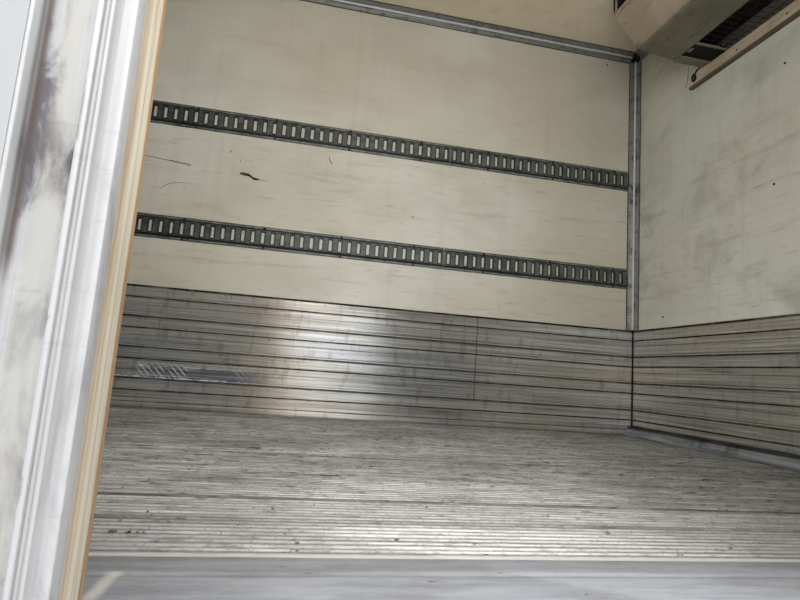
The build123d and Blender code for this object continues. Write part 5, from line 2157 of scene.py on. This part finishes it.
@dataclass
class Evaporator:
    """Slim unit under the ceiling, its return air slot, guard, strips and batten."""

    shop: Workshop
    wire: float = 0.0015
    rim: float = 0.0022
    mesh_pitch: float = 0.033
    slats: int = 6
    slat_thickness: float = 0.003
    slat_rise: float = 0.016
    screw_pitch: float = 0.16
    foot_drop: float = 0.412
    foot_back: float = 0.191
    foot_slope: float = math.atan2(0.027, 0.209)
    foot_screws: Pair = (0.215, 0.38)
    end_screws: tuple[float, ...] = (0.05, 0.14, 0.30, 0.46)

    def build(self) -> None:
        """Make the unit's pieces."""
        self.shop.soften("evaporator_housing", Coat.UNIT_SHELL, 0.0035, 3)
        self.shop.soften("evaporator_strips", Coat.UNIT_SHELL, 0.0012)
        self.shop.keep("evaporator_coil", Coat.COIL)
        self.guard()
        self.slot_end()
        self.outlet()
        self.fittings()
        self.batten()
        self.hook()

    def slot_end(self) -> None:
        """Close the slot's left end with a dark sheet that stands in for its shadow, a cable grommet and
        small plates.
        """
        low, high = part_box("return_air_guard")
        front, rear, end, level = self.shop.shell.bulkhead, low.x, high.y, high.z
        # Painted shadow: a dark sheet in the shade beyond the guard's end.
        sheet = Form()
        sheet.slab(
            (rear + 0.001, end + 0.006, level - 0.001), (front - 0.001, end + 0.156, level + 0.001), 0.0004
        )
        grommet = ((0.010, 0.0), (0.016, 0.003), (0.017, 0.008), (0.012, 0.013))
        sheet.lathe(grommet, (front - 0.052, end - 0.006, level - 0.008), (0, 0, 1), 14)
        self.shop.piece("slot_end_shadow_sheet", sheet, Coat.DARK_GAP, "guard_wire")
        plate = Form()
        plate.slab(
            (rear + 0.004, end + 0.047, level - 0.003), (rear + 0.024, end + 0.079, level - 0.001), 0.0006
        )
        plate.slab(
            (front - 0.070, end - 0.030, level - 0.006), (front - 0.058, end - 0.018, level - 0.001), 0.001
        )
        self.shop.piece("slot_end_plates", plate, Coat.ZINC, "unit_shell")

    def guard(self) -> None:
        """Make the wire guard over the return air slot."""
        low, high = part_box("return_air_guard")
        middle, rim = (low.z + high.z) / 2, self.rim
        form = Form()
        corners = rectangle((low.x + rim, low.y + rim), (high.x - rim, high.y - rim))
        for (x0, y0), (x1, y1) in zip(corners, corners[1:] + corners[:1]):
            form.tube(((x0, y0, middle), (x1, y1, middle)), rim, 8)
        for y in spread(low.y + self.mesh_pitch, high.y - self.mesh_pitch, self.mesh_pitch):
            form.tube(((low.x + rim, y, middle), (high.x - rim, y, middle)), self.wire, 6)
        for x, radius in ((low.x + 0.06, self.wire), (high.x - 0.034, self.wire * 1.4)):
            form.tube(((x, low.y + rim, middle + radius), (x, high.y - rim, middle + radius)), radius, 6)
        self.shop.piece("return_air_wires", form, Coat.WIRE, replaces="return_air_guard")

    def outlet(self) -> None:
        """Add the louvre across the front outlet."""
        low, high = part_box("evaporator_housing")
        nose = high.z - NOSE_DROP
        near, far, inset = low.x + 0.010, low.x + 0.048, 0.012
        form = Form()
        for height in spread(nose + 0.03, high.z - 0.02, (high.z - nose) / self.slats):
            back = height + self.slat_rise
            section = (
                (near, height), (far, back), (far, back + self.slat_thickness),
                (near, height + self.slat_thickness),
            )
            form.sweep(section, Axis.Y, low.y + inset, high.y - inset)
        for y in spread(low.y + 0.02, high.y - 0.02, 0.3):
            corners = (low.x + 0.012, y - 0.003, nose + 0.012), (low.x + 0.05, y + 0.003, high.z - 0.001)
            form.slab(*corners, 0.0006, 1)
        self.shop.piece("outlet_louvre", form, Coat.WIRE, "guard_wire")

    def fittings(self) -> None:
        """Add the screws along the housing's foot and end plates."""
        low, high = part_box("evaporator_housing")
        shell = self.shop.shell
        slope = self.foot_slope
        head = (0.0045, 0.002)
        form = Form()
        for y in spread(low.y + 0.03, high.y - 0.03, self.screw_pitch):
            for back in self.foot_screws:
                drop = self.foot_drop - (back - self.foot_back) * math.tan(slope)
                centre = (shell.bulkhead - back, y, shell.ceiling - drop)
                form.rivet(centre, (-math.sin(slope), 0, -math.cos(slope)), *head)
        for hand, face in ((-1, low.y), (1, high.y)):
            for back in self.end_screws:
                form.rivet((shell.bulkhead - back, face, shell.ceiling - 0.05), (0, hand, 0), *head)
        self.shop.piece("housing_screws", form, Coat.ZINC, "unit_shell")

    def batten(self) -> None:
        """Make the worn batten and its screws."""
        low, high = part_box("bulkhead_batten")
        bevel = 0.002
        form = Form()
        section = (
            (low.x, low.z + bevel), (low.x + bevel, low.z), (high.x, low.z), (high.x, high.z),
            (low.x + bevel, high.z), (low.x, high.z - bevel),
        )
        form.sweep(section, Axis.Y, low.y, high.y, steps=60)
        form.wear(0.0012, 22.0)
        for vert in form.mesh.verts:
            vert.co.x = min(vert.co.x, high.x)
            vert.co.z = min(vert.co.z, high.z)
        self.shop.piece("batten_dressed", form, Coat.BATTEN_WOOD, replaces="bulkhead_batten")
        screws = Form()
        for y in spread(low.y + 0.05, high.y - 0.05, 0.3):
            screws.rivet((low.x + 0.001, y, (low.z + high.z) / 2), (-1, 0, 0), 0.0055, 0.0025, 10)
        self.shop.piece("batten_screws", screws, Coat.DARK_GAP, "batten_wood")

    def hook(self) -> None:
        """Hang the ring, its hook and a strap at the batten's left end."""
        low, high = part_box("bulkhead_batten")
        face, end, foot, head = low.x, high.y, low.z, high.z
        across, up = end - 0.042, head - 0.026
        ring = []
        for step in range(16):
            turn = math.tau * step / 16
            ring.append((face - 0.0060, across + 0.011 * math.cos(turn), up + 0.018 * math.sin(turn)))
        bar = (
            (face - 0.004, across - 0.006, up + 0.018), (face - 0.004, across - 0.022, up + 0.032),
            (face + 0.003, across - 0.036, up + 0.040),
        )
        strap = (
            (face - 0.001, end + 0.001, head + 0.067), (face - 0.001, end + 0.006, head + 0.01),
            (face - 0.002, end + 0.019, foot + 0.021),
        )
        form = Form()
        for path, radius in ((ring, 0.0056), (bar, 0.0042), (strap, 0.0010)):
            form.tube(path, radius, 6)
        self.shop.piece("batten_hook", form, Coat.DARK_GAP, "guard_wire")


@dataclass
class SideDoorway:
    """Aluminium frame and bare wood edge round the side doorway."""

    shop: Workshop
    screw_pitch: float = 0.24
    groove_depth: float = 0.014
    groove: Pair = (0.012, 0.016)
    seal_height: float = 0.0105

    def build(self) -> None:
        """Make the frame, the worn wood edge, the screws along the head and the groove's sealant."""
        self.shop.soften("side_door_frame", Coat.FRAME, 0.0009)
        self.shop.soften("side_jamb_liner", Coat.JAMB_WOOD, 0.0016)
        low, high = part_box("side_door_frame")
        face = -self.shop.shell.half_outer + self.groove_depth
        form = Form()
        for x in spread(low.x + 0.1, high.x - 0.1, self.screw_pitch):
            form.rivet((x, face, high.z - 0.021), (0, -1, 0), 0.005, 0.002, 10)
        self.shop.piece("side_frame_screws", form, Coat.ZINC, "aluminium")
        self.groove_seal(face)

    def groove_seal(self, floor: float) -> None:
        """Fill the groove between the two inner lips with pale sealant, up to the lips' lower half.

        Args:
            floor: Place of the groove's floor across the wall.
        """
        low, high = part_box("side_door_frame")
        rear, ahead, top = low.x + FRAME_BAND, high.x - FRAME_BAND, high.z - FRAME_BAND
        near, far = self.groove
        form = Form()
        for start, end, foot in (
            (rear - far, rear - near, low.z + 0.001),
            (ahead + near, ahead + far, low.z + 0.001),
            (rear - near, ahead + near, top + near),
        ):
            form.slab((start, floor - self.seal_height, foot), (end, floor, top + far), 0.0006)
        self.shop.piece("frame_groove_seal", form, Coat.FRAME, "aluminium")


@dataclass
class Door:
    """One door: its leaf, seal, hinges and lock, and the small parts on them.

    The door's own coordinates run along the leaf from the pin, through it towards the load space,
    and upwards.
    """

    shop: Workshop
    body: str
    along: Point
    inward: Point
    edge_width: float = 0.034
    edge_sheet: float = 0.0015
    rivet_pitch: float = 0.12
    strap_height: float = 0.046
    rod_from_edge: float = 0.110
    lever_rise: float = 1.0

    def matrix(self) -> Matrix:
        """Give the matrix from the door's own coordinates to the frame's."""
        pin = self.shop.joints[self.body]["pos_m"]
        columns = Matrix((self.along, self.inward, (0.0, 0.0, 1.0))).transposed().to_4x4()
        return Matrix.Translation(Vector((pin[0], pin[1], 0.0))) @ columns

    def extent(self, part: str) -> tuple[Vector, Vector]:
        """Give the lowest and highest corners of one of its nodes in the door's own coordinates.

        Args:
            part: The end of the node's name.

        Returns:
            The two corners.
        """
        low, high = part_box(f"{self.body}_{part}")
        back = self.matrix().inverted()
        first, second = back @ low, back @ high
        return Vector(map(min, first, second)), Vector(map(max, first, second))

    def fit(self, name: str, form: Form, coat: Coat, slot: str) -> None:
        """Move a form from the door's own coordinates into place, and make it a piece on the door.

        Args:
            name: The end of the piece's name.
            form: Its solids.
            coat: Its finish.
            slot: The record's material slot.
        """
        form.move(self.matrix())
        self.shop.piece(f"{self.body}_{name}", form, coat, slot, self.body)

    def build(self) -> None:
        """Make the door's pieces."""
        self.shop.soften(f"{self.body}_leaf", Coat.DOOR_SKIN, 0.0022)
        self.shop.soften(f"{self.body}_gasket", Coat.RUBBER, 0.0015)
        self.shop.soften(f"{self.body}_hinges", Coat.ZINC, 0.0014)
        self.shop.soften(f"{self.body}_lock", Coat.ZINC, 0.0014)
        self.edging()
        self.hinge_bolts()
        self.guide_bolts()
        self.grip()

    def edging(self) -> None:
        """Add the riveted metal edging round the leaf's outer face."""
        low, high = self.extent("leaf")
        out, width, gap = low.y - self.edge_sheet, self.edge_width, 0.001
        strips = Form()
        for x0, z0, x1, z1 in (
            (low.x + gap, low.z + gap, low.x + width, high.z - gap),
            (high.x - width, low.z + gap, high.x - gap, high.z - gap),
            (low.x + width, low.z + gap, high.x - width, low.z + width),
            (low.x + width, high.z - width, high.x - width, high.z - gap),
        ):
            strips.slab((x0, out, z0), (x1, low.y, z1), 0.0006, 1)
        self.fit("edging", strips, Coat.RAIL, "aluminium")
        sides = (low.x + width / 2, high.x - width / 2)
        ends = (low.z + width / 2, high.z - width / 2)
        places = [(x, z) for z in spread(low.z + 0.05, high.z - 0.05, self.rivet_pitch) for x in sides]
        places += [(x, z) for x in spread(low.x + 0.08, high.x - 0.08, self.rivet_pitch) for z in ends]
        rivets = Form()
        for x, z in places:
            rivets.rivet((x, out, z), (0, -1, 0), 0.004, 0.002)
        self.fit("rivets", rivets, Coat.ZINC, "aluminium")

    def hinge_bolts(self) -> None:
        """Add the bolts of the three straps."""
        low, high = self.extent("hinges")
        leaf = self.extent("leaf")[0].x
        height = self.strap_height
        straps = spread(low.z + height / 2, high.z - height / 2, (high.z - low.z - height) / 2)
        form = Form()
        for z in straps:
            for x in (leaf + 0.055, (leaf + high.x) / 2 + 0.01, high.x - 0.022):
                for rise in (-0.012, 0.012):
                    form.bolt((x, 0.003, z + rise), (0, -1, 0), 0.0058, 0.005)
        self.fit("strap_bolts", form, Coat.ZINC, "galvanised")

    def guide_bolts(self) -> None:
        """Add the bolts of the lock rod's guides."""
        low, high = self.extent("leaf")
        form = Form()
        for share in (-0.4, 0.08, 0.4):
            z = (low.z + high.z) / 2 + share * (high.z - low.z)
            for hand in HANDS:
                x = high.x - self.rod_from_edge + hand * 0.0255
                form.bolt((x, 0.006, z), (0, -1, 0), 0.0045, 0.004)
        self.fit("guide_bolts", form, Coat.ZINC, "galvanised")

    def grip(self) -> None:
        """Add the grip on the lever."""
        rod = self.extent("leaf")[1].x - self.rod_from_edge
        lever = self.shop.shell.floor + self.lever_rise
        form = Form()
        form.slab((rod - 0.25, -0.016, lever - 0.014), (rod - 0.13, 0.0, lever + 0.014), 0.006, 3)
        self.fit("grip", form, Coat.RUBBER, "seal_rubber")


@dataclass
class OutsideTrim:
    """Rails, posts, rear frame, brackets and lamps on the outside of the box."""

    shop: Workshop
    rivet_pitch: float = 0.115
    lamps: tuple[Pair, ...] = ((-2.08, -1.98), (1.99, 2.09))

    def build(self) -> None:
        """Make the outside trim."""
        for node, coat, edge in (
            ("bottom_rails", Coat.RAIL, 0.0014),
            ("top_rails", Coat.RAIL, 0.0014),
            ("front_corner_posts", Coat.RAIL, 0.0014),
            ("rear_posts", Coat.RAIL, 0.004),
            ("rear_header", Coat.RAIL, 0.003),
            ("rear_sill", Coat.RAIL, 0.003),
            ("side_hinge_brackets", Coat.ZINC, 0.0014),
            ("rear_hinge_brackets", Coat.ZINC, 0.0014),
            ("lock_keepers", Coat.ZINC, 0.0014),
            ("long_sills", Coat.BLACK_STEEL, 0.002),
            ("crossmembers", Coat.BLACK_STEEL, 0.002),
            ("marker_lamps", Coat.LENS, 0.003),
        ):
            self.shop.soften(node, coat, edge)
        self.rivets()
        self.bracket_bolts()

    def rivets(self) -> None:
        """Add the rows of rivets along the rails and the front corner posts."""
        low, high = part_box("bottom_rails")
        top_low, top_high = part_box("top_rails")
        post_low, post_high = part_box("front_corner_posts")
        form = Form()
        for hand in HANDS:
            for x in spread(low.x + 0.04, high.x - 0.04, self.rivet_pitch):
                if not any(start < x < end for start, end in self.lamps):
                    form.rivet((x, hand * high.y, low.z + 0.045), (0, hand, 0))
                form.rivet((x, hand * high.y, low.z + 0.08), (0, hand, 0))
                form.rivet((x, hand * top_high.y, top_low.z + 0.018), (0, hand, 0))
        for hand in HANDS:
            for z in spread(post_low.z + 0.04, post_high.z - 0.04, self.rivet_pitch):
                form.rivet((post_low.x + 0.018, hand * post_high.y, z), (0, hand, 0))
                form.rivet((post_high.x, hand * (post_high.y - 0.055), z), (1, 0, 0))
        self.shop.piece("rail_rivets", form, Coat.ZINC, "aluminium")

    def bracket_rows(self, node: str) -> list[float]:
        """Give the heights of the bolts on a node's three brackets, two heights on each.

        Args:
            node: The node's name.

        Returns:
            The heights from the lowest up.
        """
        low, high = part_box(node)
        inset = 0.048
        middles = spread(low.z + inset, high.z - inset, (high.z - low.z - 2 * inset) / 2)
        return [z + rise for z in middles for rise in (-0.026, 0.026)]

    def bracket_bolts(self) -> None:
        """Add the bolts of the hinge brackets."""
        head = (0.006, 0.005)
        form = Form()
        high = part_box("side_hinge_brackets")[1]
        for z in self.bracket_rows("side_hinge_brackets"):
            form.bolt((high.x - 0.02, high.y - 0.008, z), (0, -1, 0), *head)
        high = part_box("rear_hinge_brackets")[1]
        for hand in HANDS:
            face = hand * (self.shop.shell.half_outer + 0.008)
            for z in self.bracket_rows("rear_hinge_brackets"):
                for back in (0.022, 0.05):
                    form.bolt((high.x - back, face, z), (0, hand, 0), *head)
        self.shop.piece("bracket_bolts", form, Coat.ZINC, "galvanised")


@dataclass
class CondensingUnit:
    """Condensing unit on the nose of the box."""

    shop: Workshop

    def build(self) -> None:
        """Make the shell, its grille, the catches on it and the coil behind the grille."""
        self.shop.soften("condenser_housing", Coat.NOSE_SHELL, 0.008, 3)
        self.shop.soften("condenser_grille", Coat.WIRE, 0.001)
        low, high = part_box("condenser_housing")
        front = self.shop.shell.front
        catches = Form()
        for hand in HANDS:
            y = hand * (high.y - 0.0002)
            for z in (low.z + 0.16, high.z - 0.16):
                catches.slab((front + 0.12, y, z - 0.02), (front + 0.17, y + hand * 0.006, z + 0.02), 0.002)
        self.shop.piece("nose_catches", catches, Coat.ZINC, "galvanised")
        low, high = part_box("condenser_grille")
        inset = 0.01
        coil = Form()
        coil.slab(
            (low.x - 0.0005, low.y + inset, low.z + inset), (low.x + 0.002, high.y - inset, high.z - inset)
        )
        self.shop.piece("nose_coil", coil, Coat.COIL, "coil_metal")


@dataclass
class Studio:
    """Pale floor, soft lights and the camera at the photograph's angle."""

    shop: Workshop
    place: Point = (0.1781, -1.6539, 0.5713)
    yaw: float = 10.42
    pitch: float = 7.81
    roll: float = 4.12
    focal: float = 538.2
    frame_width: float = 800.0
    film: float = 36.0
    floor_reach: float = 30.0
    lights: tuple = (
        # name, place, aim, width, height, power
        ("doorway_softbox", (0.4, -5.2, 2.6), (0.7, 1.2, 1.1), 5.0, 3.4, 160.0),
        ("roof_softbox", (1.5, -3.0, 7.0), (0.0, 0.0, 1.0), 6.0, 6.0, 90.0),
        ("rear_softbox", (-7.5, 3.5, 4.5), (0.0, 0.0, 1.2), 5.0, 4.0, 190.0),
        ("left_softbox", (1.0, 7.5, 4.0), (0.0, 0.0, 1.2), 6.0, 4.0, 200.0),
        ("front_softbox", (8.0, -2.0, 3.5), (0.0, 0.0, 1.2), 5.0, 4.0, 180.0),
        ("portal_softbox", (0.505, -1.185, 1.36), (0.505, 0.0, 1.36), 0.88, 1.96, 27.0),
        ("bounce_softbox", (0.505, -1.10, 0.40), (1.30, 0.10, 2.67), 0.80, 0.30, 5.0),
        ("jamb_softbox", (1.0, -1.9, 1.3), (0.05, -1.25, 1.3), 0.3, 1.6, 2.0),
    )

    def build(self) -> None:
        """Set the stage, the world, the lights and the camera."""
        self.stage()
        self.world()
        for light in self.lights:
            self.softbox(*light)
        self.camera()
        bpy.context.scene.view_settings.view_transform = "Standard"

    def stage(self) -> None:
        """Lay the pale floor under the sills."""
        reach = self.floor_reach
        form = Form()
        form.slab((-reach, -reach, -0.02), (reach, reach, -0.0005))
        floor = bpy.data.objects.new("studio_floor", form.finished("studio_floor", 30.0))
        bpy.context.scene.collection.objects.link(floor)
        floor.data.materials.append(self.shop.coat(Coat.STAGE))

    def world(self) -> None:
        """Light the surroundings evenly, and show them pale to the camera and in reflections."""
        world = bpy.data.worlds.new("studio")
        bpy.context.scene.world = world
        world.use_nodes = True
        nodes, links = world.node_tree.nodes, world.node_tree.links
        nodes.clear()
        path = nodes.new("ShaderNodeLightPath")
        shown = nodes.new("ShaderNodeMath")
        shown.operation = "MAXIMUM"
        mix = nodes.new("ShaderNodeMixShader")
        output = nodes.new("ShaderNodeOutputWorld")
        for index, ray in enumerate(("Is Camera Ray", "Is Glossy Ray")):
            links.new(path.outputs[ray], shown.inputs[index])
        links.new(shown.outputs[0], mix.inputs[0])
        for index, (colour, strength) in enumerate(((tone(236, 240, 246), 0.42), (tone(240, 241, 242), 1.0))):
            glow = nodes.new("ShaderNodeBackground")
            glow.inputs["Color"].default_value = colour
            glow.inputs["Strength"].default_value = strength
            links.new(glow.outputs[0], mix.inputs[index + 1])
        links.new(mix.outputs[0], output.inputs[0])

    def softbox(self, name: str, place: Point, aim: Point, width: float, height: float, power: float) -> None:
        """Hang a soft light that faces a point.

        Args:
            name: The light's name.
            place: Its centre.
            aim: The point that it faces.
            width: Its width.
            height: Its height.
            power: Its power in watts.
        """
        lamp = bpy.data.lights.new(name, "AREA")
        lamp.shape = "RECTANGLE"
        lamp.size = width
        lamp.size_y = height
        lamp.energy = power
        light = bpy.data.objects.new(name, lamp)
        bpy.context.scene.collection.objects.link(light)
        light.location = place
        light.rotation_euler = (Vector(aim) - Vector(place)).to_track_quat("-Z", "Y").to_euler()
        light.visible_camera = False
        light.visible_glossy = width > 1.0

    def camera(self) -> None:
        """Set the camera where the photograph was taken from."""
        yaw, pitch, roll = map(math.radians, (self.yaw, self.pitch, self.roll))
        ahead = Vector((math.sin(yaw) * math.cos(pitch), math.cos(yaw) * math.cos(pitch), math.sin(pitch)))
        level = Vector((math.cos(yaw), -math.sin(yaw), 0.0))
        upright = level.cross(ahead)
        right = level * math.cos(roll) + upright * math.sin(roll)
        up = upright * math.cos(roll) - level * math.sin(roll)
        lens = bpy.data.cameras.new("photo_camera")
        lens.sensor_width = self.film
        lens.lens = self.focal / self.frame_width * self.film
        lens.clip_start = 0.01
        camera = bpy.data.objects.new("photo_camera", lens)
        bpy.context.scene.collection.objects.link(camera)
        turn = Matrix((right, up, -ahead)).transposed().to_4x4()
        camera.matrix_world = Matrix.Translation(self.place) @ turn
        bpy.context.scene.camera = camera


def main() -> None:
    """Load the frame, make every sub-assembly in order, and set the studio."""
    logging.basicConfig(level=logging.INFO, format="%(message)s")
    waves.seed_set(WEAR_SEED)
    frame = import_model()
    shop = Workshop(frame, Shell.read())
    parts = (
        Panels(shop),
        FloorDeck(shop),
        ScuffLining(shop),
        CargoTracks(shop),
        CoveTrims(shop),
        Evaporator(shop),
        SideDoorway(shop),
        Door(shop, "side_door", (1.0, 0.0, 0.0), (0.0, -1.0, 0.0)),
        Door(shop, "rear_left_door", (0.0, -1.0, 0.0), (1.0, 0.0, 0.0)),
        Door(shop, "rear_right_door", (0.0, 1.0, 0.0), (1.0, 0.0, 0.0)),
        OutsideTrim(shop),
        CondensingUnit(shop),
        Studio(shop),
    )
    for part in parts:
        log.info("Making %s", type(part).__name__)
        part.build()


if __name__ == "__main__":
    main()
